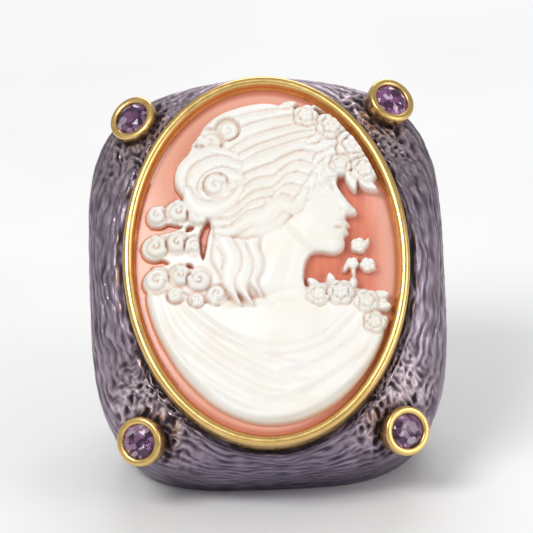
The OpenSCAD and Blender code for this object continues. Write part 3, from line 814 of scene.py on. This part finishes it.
def head(board):
    """The neck and the face, which is raised over it along the jaw."""
    outline = curve(FACE, closed=True, steps=5)
    window = board.window(outline, 2)
    depth = board.depth_inside(outline, window)
    inside = np.zeros(board.x.shape)
    inside[window] = ease(0, 2.5, depth)
    x, y = board.x[window], board.y[window]
    under = ease(-30, -16, y)       # the neck rises out of the chest
    jaw_line = np.interp(x, (-10, 4, 14, 22, 30, 38, 46), (36, 28, 15, 5, 0.4, -0.6, 2.5))
    softer = 0.25 * np.clip(30 - x, 0, 40)     # towards the ear
    face = ease(-2.5 - softer, 2.0 + softer, y - jaw_line)
    level = (0.36 + 0.16 * face) + (0.20 + 0.06 * face) * rounded(depth, 9)
    height = board.height[window]
    raised = height * (1 - under) + np.maximum(level, height) * under
    height[...] = np.where(depth > 0, raised, height)
    face_mask = np.zeros(board.x.shape)
    face_mask[window] = inside[window] * face
    for x0, y0, rx, ry, turn, rise in (
            (28, 18, 11, 11, 0, 0.12),           # cheek
            (24, 46, 14, 12, 0, 0.05),           # temple
            (35.6, 39.6, 7.0, 5.0, 14, -0.36),   # eye socket
            (38.6, 40, 2.2, 3.2, 0, -0.08),      # its corner by the nose
            (35.8, 39.2, 3.2, 2.3, 6, 0.30),     # eyeball
            (36.6, 46.4, 6.4, 1.8, 12, 0.14),    # brow
            (44.2, 31, 2.6, 6.0, 32, 0.08),      # side of the nose
            (45.6, 25.8, 2.4, 1.9, 20, 0.14),    # nostril wing
            (42.2, 26.4, 1.2, 2.8, 20, -0.10),   # groove behind it
            (47.2, 23.6, 1.3, 0.7, 10, -0.10),   # nostril
            (43.2, 17.9, 3.4, 1.2, -10, 0.12),   # upper lip
            (43.0, 13, 3.0, 1.3, 8, 0.12),       # lower lip
            (41.4, 15.4, 3.8, 0.7, 0, -0.17),    # line between the lips
            (39.4, 15.2, 1.6, 1.8, 0, -0.08),    # corner of the mouth
            (42.2, 9.9, 2.8, 1.3, 0, -0.07),     # hollow over the chin
            (39.4, 5.8, 4.4, 3.4, 0, 0.09)):     # chin
        board.swell(x0, y0, rx, ry, turn, rise, face_mask)
    # upper and lower lid
    board.fold([(31.4, 38.0), (33.8, 40.8), (37.0, 42.0), (39.6, 40.9)], 0.9, 0.26, face_mask)
    board.fold([(31.8, 37.8), (34.4, 36.7), (37.2, 36.7), (39.2, 37.8)], 0.8, 0.16, face_mask)
    # neck muscle
    board.swell(4, -8, 3.2, 15, -26, 0.07, inside)
    board.swell(12, -8, 3.2, 14, -14, -0.04, inside)
    # ear, half under the hair
    board.dome(8, 22, 4.2, 6.4, 0.62, 0.80)
    board.swell(8.6, 22.5, 2.0, 3.6, -10, -0.14)


def hair(board):
    """The hair on the crown and beside the face."""
    outline = curve(CAP, closed=True, steps=4)
    board.plate(outline, 0.45, 0.74, 9)
    low, high = 0.62, 0.94
    # crown, swept back over the top of the head
    for k, (a, b, c, d, e) in enumerate((
            ((16, 85), (2, 86), (-14, 83), (-27, 77), (-36, 67)),
            ((26, 83), (10, 81.5), (-8, 79), (-23, 72), (-33, 60.5)),
            ((34, 79.5), (16, 77), (-2, 74), (-18, 66.5), (-30, 56)),
            ((38, 75), (20, 72), (4, 68), (-13, 61.5), (-27, 51.5)),
            ((40, 70), (24, 67.5), (8, 63), (-9, 57), (-25, 47.5)),
            ((41, 65), (27, 64), (11, 59), (-6, 53), (-24, 44)))):
        board.lock([a, b, c, d, e], 6.2, low, high + 0.02 * (k % 2), 5, root=0.7, tip=0.5, twist=1.5)
    # waves from the brow back over the ear
    for k, pts in enumerate((
            [(39, 61), (31, 56), (20, 56), (8, 50), (-4, 46), (-18, 42), (-28, 38)],
            [(36, 56), (28, 49), (19, 50), (8, 42), (-3, 40), (-16, 33), (-28, 32)],
            [(32, 51), (26, 42), (17, 43), (8, 35), (-3, 33), (-15, 26), (-28, 26)],
            [(28, 45), (22, 35), (14, 36), (6, 29), (-5, 27), (-15, 20), (-27, 20)],
            [(23, 37), (17, 28), (9, 30), (1, 23), (-8, 21), (-18, 15), (-26, 15)])):
        board.lock(pts, 5.6, low - 0.02, high - 0.02, 5, root=0.5, tip=0.5, twist=3.0)


def knot(board):
    """The hair wound up at the back of the head."""
    # scalloped curls along the back of the crown
    for x, y, r, start, hand, top in ((-18.5, 76, 7.2, 200, 1, 0.92), (-28.5, 69.5, 8, 160, 1, 0.94),
                                      (-34.5, 60, 7.6, 120, 1, 0.96)):
        board.curl(x, y, r, start, hand, 0.60, top)
    # the knot itself, three thick twists
    for pts, w in (
            ([(-16, 59), (-28, 61), (-39, 56), (-44, 47), (-40, 37)], 6.2),
            ([(-14, 53), (-24, 55), (-34, 51), (-38, 44), (-34, 36)], 5.8),
            ([(-13, 46), (-22, 48), (-29, 45), (-32, 39), (-29, 31)], 5.4),
            ([(-42, 40), (-38, 31), (-28, 28), (-18, 32), (-12, 40)], 5.0)):
        board.lock(pts, w, 0.66, 1.0, 5, root=0.6, tip=0.5, twist=2.0)
    board.curl(-26, 42.5, 7.5, 40, 1, 0.70, 1.0, turns=1.2)


def falling_curls(board):
    """Curls behind the neck, locks down its side and the openings between them."""
    mass = curve([(-61, 30), (-54, 34), (-44, 36), (-30, 30), (-18, 18), (-14, 0), (-18, -20),
                  (-30, -26), (-44, -20), (-56, -17), (-62, -12), (-63, 4), (-63, 18)], closed=True, steps=3)
    board.plate(mass, 0.10, 0.46, 3)
    for a, b, width, bend in (((-69, 18), (-45, 20.5), 3.0, 1.0), ((-43.5, 17.5), (-38.5, 20), 1.6, 0.5),
                              ((-69, 0.5), (-53, -0.5), 2.4, 0.8),
                              ((-58, 31), (-53, 34), 1.2, 0.3), ((-44, -2), (-40, -4.5), 1.0, 0.4)):
        board.gap(a, b, width, bend)
    for x, y, r, start, hand, top in (
            (-58.5, 28, 6.6, 60, 1, 0.80), (-47.5, 29.5, 7.6, 90, -1, 0.84), (-35.5, 27, 7.2, 150, 1, 0.86),
            (-60.5, 9.5, 7.8, 90, -1, 0.82), (-48, 10.5, 7.0, 40, 1, 0.86), (-38.5, 8.5, 6.4, 200, -1, 0.80),
            (-60, -10.5, 8.2, 20, 1, 0.80), (-47.5, -8.5, 6.8, 100, -1, 0.84), (-37, -11.5, 7.4, 170, 1, 0.84),
            (-50, -20, 5.4, 40, 1, 0.78), (-27.5, -21, 6.4, 250, -1, 0.80), (-39, -23, 5.0, 250, 1, 0.76)):
        board.curl(x, y, r, start, hand, 0.30, top)
    under = curve([(-26, 24), (-14, 22), (-1, 16), (-3, 2), (-5, -12), (-10, -20), (-20, -21),
                   (-26, -8)], closed=True, steps=3)
    board.plate(under, 0.40, 0.64, 5)
    for pts, w in (
            ([(-4, 16), (-7.5, 6), (-5, -4), (-7.5, -14), (-3.5, -23)], 3.9),
            ([(-30, 33), (-23.5, 24), (-23, 12), (-26.5, 0), (-23, -13)], 4.8),
            ([(-12, 18), (-15, 7), (-11.5, -5), (-14, -17), (-8.5, -28)], 4.9),
            ([(-20, 24), (-22.5, 11), (-18, -1), (-21, -14), (-15.5, -27)], 5.3)):
        board.lock(pts, w, 0.58, 0.88, 4, root=0.8, tip=0.2, steps=6, twist=7.0)
    board.gap((-27.5, 27), (-34.5, 0), 2.4, -2.8)


def wreath(board):
    """Leaves and blossoms over the brow."""
    for a, b, w, bend, top in (((45, 79), (59, 71), 3.4, 1, 0.86), ((56, 62), (66, 50), 3.8, 1, 0.86),
                               ((52, 47), (63, 38), 3.4, -1, 0.84), ((45, 51), (50, 37), 3.0, 1, 0.84),
                               ((28, 89.5), (44, 87), 3.2, 1, 0.84), ((9, 88.5), (21, 92), 2.8, 0, 0.8),
                               ((34, 72), (24, 66), 3.0, 1, 0.92), ((36, 60), (28, 53), 2.8, -1, 0.9)):
        board.leaf(a, b, w, bend, 0.5, top)
    for x, y, r, n, turn, top in ((25, 83, 7.6, 5, 0, 1.0), (39, 77, 9.4, 6, 40, 1.04), (50.5, 64.5, 10.5, 5, 10, 1.06),
                                  (56, 50, 8.5, 5, 0, 1.0), (43, 53, 6.5, 5, 20, 1.0)):
        board.blossom(x, y, r, n, turn, 0.45, top)


def spray(board):
    """Flowers over the shoulder and the twig that stands up from them."""
    for a, b, w, bend, top in (((30, -20), (22, -13), 2.6, 0, .62), ((36, -18), (34, -10), 2.6, 0, .62),
                               ((46, -20), (48, -12), 2.4, 0, .62), ((56, -24), (67, -22.5), 3.0, 0, .66),
                               ((58, -30), (68, -29), 2.8, 0, .66), ((60, -34), (67, -42), 2.8, 0, .66)):
        board.leaf(a, b, w, bend, 0.3, top)
    for a, b, w, bend, top in (((48, -15), (50, 0), 1.3, 1.5, .40), ((52, 2), (57, 11), 1.8, 0, .44),
                               ((46, -1), (42, -10), 1.6, 0, .40)):
        board.leaf(a, b, w, bend, 0.2, top)
    for x, y, r, n, turn, top in ((51, 6, 4.8, 5, 0, .56), (55.5, -5.5, 4.6, 5, 30, .56), (47, -4.5, 3.8, 5, 10, .5),
                                  (28, -23, 7.0, 5, 10, .84), (40, -22, 8.0, 6, 0, .88), (54, -27, 7.5, 5, 30, .86),
                                  (58, -39, 6.8, 5, 0, .82)):
        board.blossom(x, y, r, n, turn, 0.25, top)


def carved_board():
    board = Board()
    bust(board)
    head(board)
    falling_curls(board)
    hair(board)
    knot(board)
    wreath(board)
    spray(board)
    return board


CAMEO_COLUMNS = 384
CAMEO_ROWS = 519
FINE_CELLS = 8000              # of its cells, how many have nine faces and not one
LIP_SHARE = 1 - 2 * (LIP_W + FIT_GAP) / CAMEO_W    # where the collar's lip starts
FIGURE_MARGIN = 0.02
FIGURE_FOOT = -20.0            # above this the figure is drawn in by its height,
FIGURE_DRAW = 0.97             # because the camera sees raised work shifted upwards


def board_places():
    """A square grid bent into rings that fill the oval, the outermost under the lip."""
    u = np.linspace(-1, 1, CAMEO_COLUMNS + 1)[:, None] + np.zeros((1, CAMEO_ROWS + 1))
    v = np.linspace(-1, 1, CAMEO_ROWS + 1)[None, :] + 0 * u
    k = np.maximum(np.abs(u), np.abs(v))
    inner = 1 - 2 / CAMEO_COLUMNS
    r = np.where(k < inner, LIP_SHARE * k / inner,
                 LIP_SHARE + (1 - LIP_SHARE) * (k - inner) / (1 - inner))
    wide = np.abs(u) > np.abs(v)
    with np.errstate(divide="ignore", invalid="ignore"):
        turn = np.where(wide, np.where(u > 0, 0, math.pi) + math.pi / 4 * v / u,
                        np.where(v > 0, math.pi / 2, 1.5 * math.pi) - math.pi / 4 * u / v)
    turn = np.where(k < 1e-9, 0, turn)
    return BOARD_W * r * np.cos(turn), BOARD_L * r * np.sin(turn)


def softened(height):
    """The carving with its steps rounded a little."""
    for _ in range(3):
        height = (2 * height + np.roll(height, 1, 0) + np.roll(height, -1, 0)
                  + np.roll(height, 1, 1) + np.roll(height, -1, 1)) / 6
    return height


def hollows(height):
    """How far each place lies below what is around it, 0 to 1."""
    around = height
    for _ in range(3):
        for axis in (0, 1):
            around = sum(np.roll(around, shift, axis) for shift in range(-4, 5)) / 9
    return np.clip((around - height) * 7 - 0.1, 0, 1)


def sampled(grid, x, y):
    """What a grid of the board holds at some places on it."""
    column = np.clip((x + BOARD_W) / (2 * BOARD_W) * (BOARD_COLUMNS - 1), 0, BOARD_COLUMNS - 1.001)
    row = np.clip((y + BOARD_L) / (2 * BOARD_L) * (BOARD_ROWS - 1), 0, BOARD_ROWS - 1.001)
    i, j = row.astype(int), column.astype(int)
    a, b = row - i, column - j
    return ((grid[i, j] * (1 - b) + grid[i, j + 1] * b) * (1 - a)
            + (grid[i + 1, j] * (1 - b) + grid[i + 1, j + 1] * b) * a)


def cell_faces(height, weight):
    """Faces over a grid: nine in each cell of three by three where the surface bends
    most, and one elsewhere, or a fan where it takes in the points of finer neighbours."""
    nx, ny = height.shape[0] - 1, height.shape[1] - 1
    index = np.arange(height.size).reshape(height.shape)
    bend = np.zeros(height.shape)
    bend[1:-1] += np.abs(height[2:] + height[:-2] - 2 * height[1:-1])
    bend[:, 1:-1] += np.abs(height[:, 2:] + height[:, :-2] - 2 * height[:, 1:-1])
    bend *= weight
    cells = np.max([bend[a:a + nx:3, b:b + ny:3] for a in range(4) for b in range(4)], axis=0)
    fine = cells >= np.partition(cells.ravel(), -FINE_CELLS)[-FINE_CELLS]
    squares = np.stack([index[:-1, :-1], index[1:, :-1], index[1:, 1:], index[:-1, 1:]], -1)
    faces = squares[np.repeat(np.repeat(fine, 3, 0), 3, 1)].tolist()
    split = np.pad(fine, 1, constant_values=True)
    for i, j in np.argwhere(~fine):
        a, b = 3 * i, 3 * j
        sides = ((index[a:a + 3, b], split[i + 1, j]), (index[a + 3, b:b + 3], split[i + 2, j + 1]),
                 (index[a + 3:a:-1, b + 3], split[i + 1, j + 2]), (index[a, b + 3:b:-1], split[i, j + 1]))
        ring = [int(point) for side, whole in sides for point in (side if whole else side[:1])]
        hub = int(index[a + 1, b + 1])
        faces += [ring] if len(ring) == 4 else [[hub, p, q] for p, q in zip(ring, ring[1:] + ring[:1])]
    return faces, index


def cameo():
    """The shell in one piece: its carved front, and its edge and flat back."""
    board = carved_board()
    x, y = board_places()
    drawn = np.where(y > FIGURE_FOOT, FIGURE_FOOT + (y - FIGURE_FOOT) / FIGURE_DRAW, y)
    share = np.hypot(x / BOARD_W, y / BOARD_L) / LIP_SHARE
    inside = np.clip(1 - share ** 2, 0, 1)
    carving = softened(board.height)
    relief = sampled(carving, x, drawn) * np.clip(inside / (2 * FIGURE_MARGIN), 0, 1)
    hollow_shade = sampled(hollows(carving), x, drawn)
    z = CAMEO_EDGE_Z + GROUND_RISE * inside + RELIEF_H * relief
    top = np.stack([x / BOARD_W * CAMEO_W / 2, y / BOARD_L * CAMEO_L / 2, z], -1).reshape(-1, 3)
    # the face gets the finest cells
    features = 1 + 12 * np.exp(-((x - 39) / 9) ** 4 - ((y - 24) / 22) ** 4)
    faces, index = cell_faces(relief, features)
    rim = np.concatenate([index[:-1, 0], index[-1, :-1], index[:0:-1, -1], index[0, :0:-1]])
    back = top[rim].copy()
    back[:, 2] = CAMEO_Z
    low = len(top) + np.arange(len(rim))
    faces += np.stack([rim, low, np.roll(low, -1), np.roll(rim, -1)], -1).tolist()
    faces += [low[::-1].tolist()]
    used = np.unique(np.concatenate(faces))
    place = np.zeros(len(top) + len(rim), int)
    place[used] = np.arange(len(used))
    piece = new_mesh("shell_cameo", np.concatenate([top, back])[used],
                     [place[face].tolist() for face in faces])
    for name, grid in (("relief", relief), ("rim", share), ("hollow_shade", hollow_shade)):
        values = np.concatenate([grid.ravel(), np.zeros(len(rim))])[used].astype(np.float32)
        piece.data.attributes.new(name, "FLOAT", "POINT").data.foreach_set("value", values)
    smooth_with_edges(piece, CAMEO_SHARP)
    return piece


WRIST_SHADE_W = 4.5              # how far in from the wrist side the painted shade darkens the silver


class Finish:
    """One material, with its patterns laid out in the ring's own frame in mm."""

    def __init__(self, name, **values):
        self.material = bpy.data.materials.new(name)
        self.material.use_nodes = True
        self.tree = self.material.node_tree
        self.shader = self.tree.nodes["Principled BSDF"]
        for socket, value in values.items():
            self.shader.inputs[socket.replace("_", " ")].default_value = value
        places = self.node("ShaderNodeTexCoord").outputs["Object"]
        mapping = self.node("ShaderNodeMapping")
        back = REST.inverted()
        mapping.inputs["Scale"].default_value = (1 / MM,) * 3
        mapping.inputs["Rotation"].default_value = (-LAY_ANGLE, 0, 0)
        mapping.inputs["Location"].default_value = back.translation
        self.tree.links.new(places, mapping.inputs["Vector"])
        self.places = mapping.outputs["Vector"]

    def node(self, kind, **settings):
        made = self.tree.nodes.new(kind)
        for key, value in settings.items():
            setattr(made, key, value)
        return made

    def link(self, source, target):
        self.tree.links.new(source, self.shader.inputs[target] if isinstance(target, str) else target)

    def scaled(self, places, sizes):
        """Places in mm as shares of a size along each axis."""
        made = self.node("ShaderNodeMapping")
        made.inputs["Scale"].default_value = [1 / size for size in sizes]
        self.link(places, made.inputs["Vector"])
        return made.outputs["Vector"]

    def noise(self, size, detail=2.0, roughness=0.5, places=None):
        """Noise whose features are about size mm across."""
        made = self.node("ShaderNodeTexNoise")
        made.inputs["Scale"].default_value = 1 / size
        made.inputs["Detail"].default_value = detail
        made.inputs["Roughness"].default_value = roughness
        self.link(places or self.places, made.inputs["Vector"])
        return made.outputs["Fac"]

    def cells(self, size):
        """A value of its own for each cell of about size mm."""
        made = self.node("ShaderNodeTexVoronoi")
        made.inputs["Scale"].default_value = 1 / size
        self.link(self.places, made.inputs["Vector"])
        return made.outputs["Color"]

    def along(self, axis, low, high):
        """0 to 1 along an axis of the ring's own frame."""
        split = self.node("ShaderNodeSeparateXYZ")
        self.link(self.places, split.inputs[0])
        made = self.node("ShaderNodeMapRange")
        made.inputs["From Min"].default_value = low
        made.inputs["From Max"].default_value = high
        self.link(split.outputs[axis], made.inputs["Value"])
        return made.outputs["Result"]

    def attribute(self, name, output="Fac"):
        return self.node("ShaderNodeAttribute", attribute_name=name).outputs[output]

    def ramp(self, source, stops):
        """Colours or greys at places from 0 to 1."""
        made = self.node("ShaderNodeValToRGB")
        elements = made.color_ramp.elements
        while len(elements) < len(stops):
            elements.new(0.5)
        for element, (place, colour) in zip(elements, stops):
            element.position = place
            element.color = (*colour, 1) if isinstance(colour, tuple) else (colour,) * 3 + (1,)
        self.link(source, made.inputs["Fac"])
        return made.outputs["Color"]

    def mix(self, share, first, second, blend="MIX"):
        """Two colours mixed, each of the three a value or another node's output."""
        made = self.node("ShaderNodeMix", data_type="RGBA", blend_type=blend)
        sockets = [made.inputs[k] for k in (0, 6, 7)]     # its share and its two colours
        for socket, source in zip(sockets, (share, first, second)):
            if isinstance(source, (int, float)):
                socket.default_value = source
            elif isinstance(source, tuple):
                socket.default_value = (*source, 1)
            else:
                self.link(source, socket)
        return made.outputs[2]

    def tinted(self, tone, tint):
        """A tone multiplied by another."""
        return self.mix(1.0, tone, tint, "MULTIPLY")

    def bump(self, source, height, strength=1.0):
        """Raises the surface by up to height mm where source is one."""
        made = self.node("ShaderNodeBump")
        made.inputs["Strength"].default_value = strength
        made.inputs["Distance"].default_value = height * MM
        self.link(source, made.inputs["Height"])
        return made.outputs["Normal"]


def blackened_silver():
    finish = Finish("blackened_silver", Metallic=1.0)
    patina_and_shade = finish.attribute("patina_and_shade")
    patches = finish.noise(2.4, 3)
    barked = finish.attribute("barked")
    wrap = finish.scaled(finish.attribute("wrap", "Vector"), (1.5, 1.5, 0.24))
    streaks = finish.noise(1.0, 4, 0.6, places=wrap)
    streaks = finish.mix(finish.ramp(barked, [(0.0, 0.3), (1.0, 1.0)]), (0.5, 0.5, 0.5), streaks)
    # darker with patina in the bark's recesses and with painted shade by the collar and collets; in the corners the
    # crests go nearly white as painted glints, along with wear
    side_wear_and_shade = finish.ramp(patina_and_shade, [(0.10, (0.52, 0.435, 0.51)), (0.32, (0.36, 0.295, 0.36)),
                               (0.55, (0.175, 0.138, 0.178)), (0.8, (0.06, 0.047, 0.062))])
    corner_wear_and_glints = finish.ramp(patina_and_shade, [(0.10, (0.86, 0.72, 0.72)), (0.28, (0.52, 0.42, 0.465)),
                                 (0.52, (0.22, 0.17, 0.205)), (0.82, (0.045, 0.034, 0.043))])
    tone = finish.mix(finish.attribute("corner"), side_wear_and_shade, corner_wear_and_glints)
    tone = finish.tinted(tone, finish.ramp(patches, [(0.35, 0.84), (0.65, 1.1)]))
    tone = finish.tinted(tone, finish.ramp(streaks, [(0.3, 0.72), (0.7, 1.22)]))
    # greyer on the plain shank, and painted shade, darker and bluer, along the wrist side
    tone = finish.tinted(tone, finish.ramp(barked, [(0.0, (0.83, 0.87, 0.84)), (1.0, 1.0)]))
    wrist_side = finish.along(1, -HEAD_L / 2, WRIST_SHADE_W - HEAD_L / 2)
    below = finish.ramp(wrist_side, [(0.0, (0.70, 0.69, 0.80)), (1.0, 1.0)])
    finish.link(finish.tinted(tone, below), "Base Color")
    finish.link(finish.ramp(patina_and_shade, [(0.0, 0.38), (0.34, 0.40), (0.55, 0.56), (1.0, 0.75)]), "Roughness")
    grit = finish.noise(0.38, 2, 0.55)
    raised = finish.mix(finish.attribute("corner"), streaks, finish.mix(0.6, streaks, grit))
    finish.link(finish.bump(raised, 0.07), "Normal")
    return finish.material


def gilt():
    finish = Finish("gilt", Metallic=1.0)
    patches = finish.noise(1.6, 2)
    tone = finish.ramp(patches, [(0.3, (0.72, 0.475, 0.165)), (0.7, (0.81, 0.56, 0.225))])
    finish.link(tone, "Base Color")
    finish.link(finish.ramp(finish.noise(0.7, 3), [(0.3, 0.25), (0.7, 0.38)]), "Roughness")
    finish.link(finish.bump(finish.noise(0.45, 2), 0.012, 0.5), "Normal")
    return finish.material


def violet_stone():
    finish = Finish("violet_stone", Roughness=0.02, IOR=1.55, Transmission_Weight=0.6)
    # cells of random violet shade; the palest, nearly white, are painted facet reflections
    tone = finish.ramp(finish.cells(0.55), [(0.22, (0.060, 0.019, 0.056)), (0.5, (0.25, 0.095, 0.24)),
                                            (0.74, (0.57, 0.34, 0.56)), (0.92, (0.86, 0.76, 0.86))])
    # painted reflection: the stones are paler towards the tip and the right, the tip-right one palest
    paler = finish.mix(0.5, finish.along(1, -GEM_Y, GEM_Y), finish.along(0, -GEM_X, GEM_X))
    paler = finish.ramp(paler, [(0.0, 0.96), (0.5, 1.0), (1.0, 1.7)])
    finish.link(finish.tinted(tone, paler), "Base Color")
    return finish.material


def shell():
    finish = Finish("shell", Roughness=0.3, IOR=1.5, Subsurface_Weight=0.06, Subsurface_Scale=0.0003)
    relief, rim = finish.attribute("relief"), finish.attribute("rim")
    across = finish.along(0, -CAMEO_W / 2, CAMEO_W / 2)
    # painted light: the coral ground paler and pinker towards the right side
    coral = finish.ramp(across, [(0.0, (0.63, 0.195, 0.09)), (0.45, (0.64, 0.195, 0.10)),
                                 (1.0, (0.69, 0.225, 0.155))])
    coral = finish.tinted(coral, finish.ramp(finish.noise(5.0, 3), [(0.35, 0.92), (0.65, 1.06)]))
    layers = finish.noise(1.0, 2, places=finish.scaled(finish.places, (0.5, 5.0, 5.0)))
    coral = finish.tinted(coral, finish.ramp(layers, [(0.35, 0.93), (0.65, 1.08)]))
    # painted sheen: paler towards the collar, most on the right, and a painted shadow line right beside it
    pale = finish.ramp(across, [(0.0, (0.70, 0.25, 0.125)), (0.16, (0.76, 0.37, 0.26)),
                                (0.5, (0.79, 0.43, 0.34))])
    coral = finish.mix(finish.ramp(rim, [(0.80, 0.0), (0.95, 0.85)]), coral, pale)
    # painted shadow of the collar's lip on the ground
    coral = finish.mix(finish.ramp(rim, [(0.972, 0.0), (0.995, 0.8)]), coral, (0.46, 0.12, 0.07))
    white = finish.ramp(finish.noise(3.5, 2), [(0.35, (0.79, 0.76, 0.69)), (0.6, (0.81, 0.795, 0.76))])
    # painted shade in the carving's hollows, with the coral showing warm through the thinner shell there
    hollow = finish.ramp(finish.attribute("hollow_shade"), [(0.0, 0.0), (0.9, 0.8)])
    white = finish.mix(hollow, white, (0.68, 0.45, 0.34))
    thin = finish.ramp(relief, [(0.05, 0.0), (0.16, 0.72), (0.42, 1.0)])
    finish.link(finish.mix(thin, coral, white), "Base Color")
    finish.link(finish.ramp(relief, [(0.03, 0.22), (0.2, 0.42)]), "Roughness")
    finish.link(finish.bump(finish.noise(0.25, 2), 0.008, 0.5), "Normal")
    return finish.material


def floor_finish():
    finish = Finish("pale_floor", Roughness=0.6)
    finish.link(finish.ramp(finish.noise(30.0, 2), [(0.3, 0.80), (0.7, 0.83)]), "Base Color")
    return finish.material


def dress(piece, material, slot, *nodes):
    """Gives a piece its material, puts it under the root body, and hides the nodes it stands for."""
    piece.data.materials.clear()
    piece.data.materials.append(material)
    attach(piece, "root")
    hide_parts(*nodes)


def camera():
    made = placed("camera", bpy.data.cameras.new("camera"))
    target = Vector(at_rest(LOOK_AT))
    elevation = math.radians(90 - math.degrees(LAY_ANGLE) - CAMERA_PITCH)
    away = Vector((0, -math.cos(elevation), math.sin(elevation)))
    made.location = target + away * CAMERA_DISTANCE * MM
    aim = (-away).to_track_quat("-Z", "Y")
    roll = Matrix.Rotation(math.radians(CAMERA_ROLL), 4, "Z").to_quaternion()
    made.rotation_mode = "QUATERNION"
    made.rotation_quaternion = aim @ roll
    made.data.sensor_width = SENSOR_W
    made.data.lens = SENSOR_W * CAMERA_DISTANCE / VIEW_W
    made.data.clip_start = CLIP_START
    bpy.context.scene.camera = made


def softbox(name, place, size, power):
    light = bpy.data.lights.new(name, "AREA")
    light.shape = "RECTANGLE"
    light.size, light.size_y = size
    light.energy = power
    made = placed(name, light)
    made.location = place
    aim = Vector(at_rest(LOOK_AT)) - made.location
    made.rotation_mode = "QUATERNION"
    made.rotation_quaternion = aim.to_track_quat("-Z", "Y")


def studio():
    floor = bpy.data.meshes.new("floor")
    corners = [(-1, -1), (1, -1), (1, 1), (-1, 1)]
    floor.from_pydata([(FLOOR_HALF * x, FLOOR_HALF * y, 0) for x, y in corners], [], [range(4)])
    floor.materials.append(floor_finish())
    placed("floor", floor)
    world = bpy.data.worlds.new("studio")
    world.use_nodes = True
    background = world.node_tree.nodes["Background"]
    background.inputs["Color"].default_value = (1, 1, 1, 1)
    background.inputs["Strength"].default_value = WORLD_LIGHT
    bpy.context.scene.world = world
    for row in SOFTBOXES:
        softbox(*row)
    bpy.context.scene.view_settings.view_transform = "Standard"


def main():
    silver, gold, stone, carved = blackened_silver(), gilt(), violet_stone(), shell()
    camera()
    studio()
    dress(ring_body(), silver, "blackened_silver", "ring_body")
    dress(cameo_collar(), gold, "gilt", "cameo_collar")
    for corner, (sx, sy) in CORNERS.items():
        dress(collet(f"gilt_collet_{corner}", sx, sy), gold, "gilt", f"collet_{corner}")
        bpy.data.objects[f"gem_{corner}"].material_slots[0].material = stone
    dress(cameo(), carved, "shell", "cameo")


main()
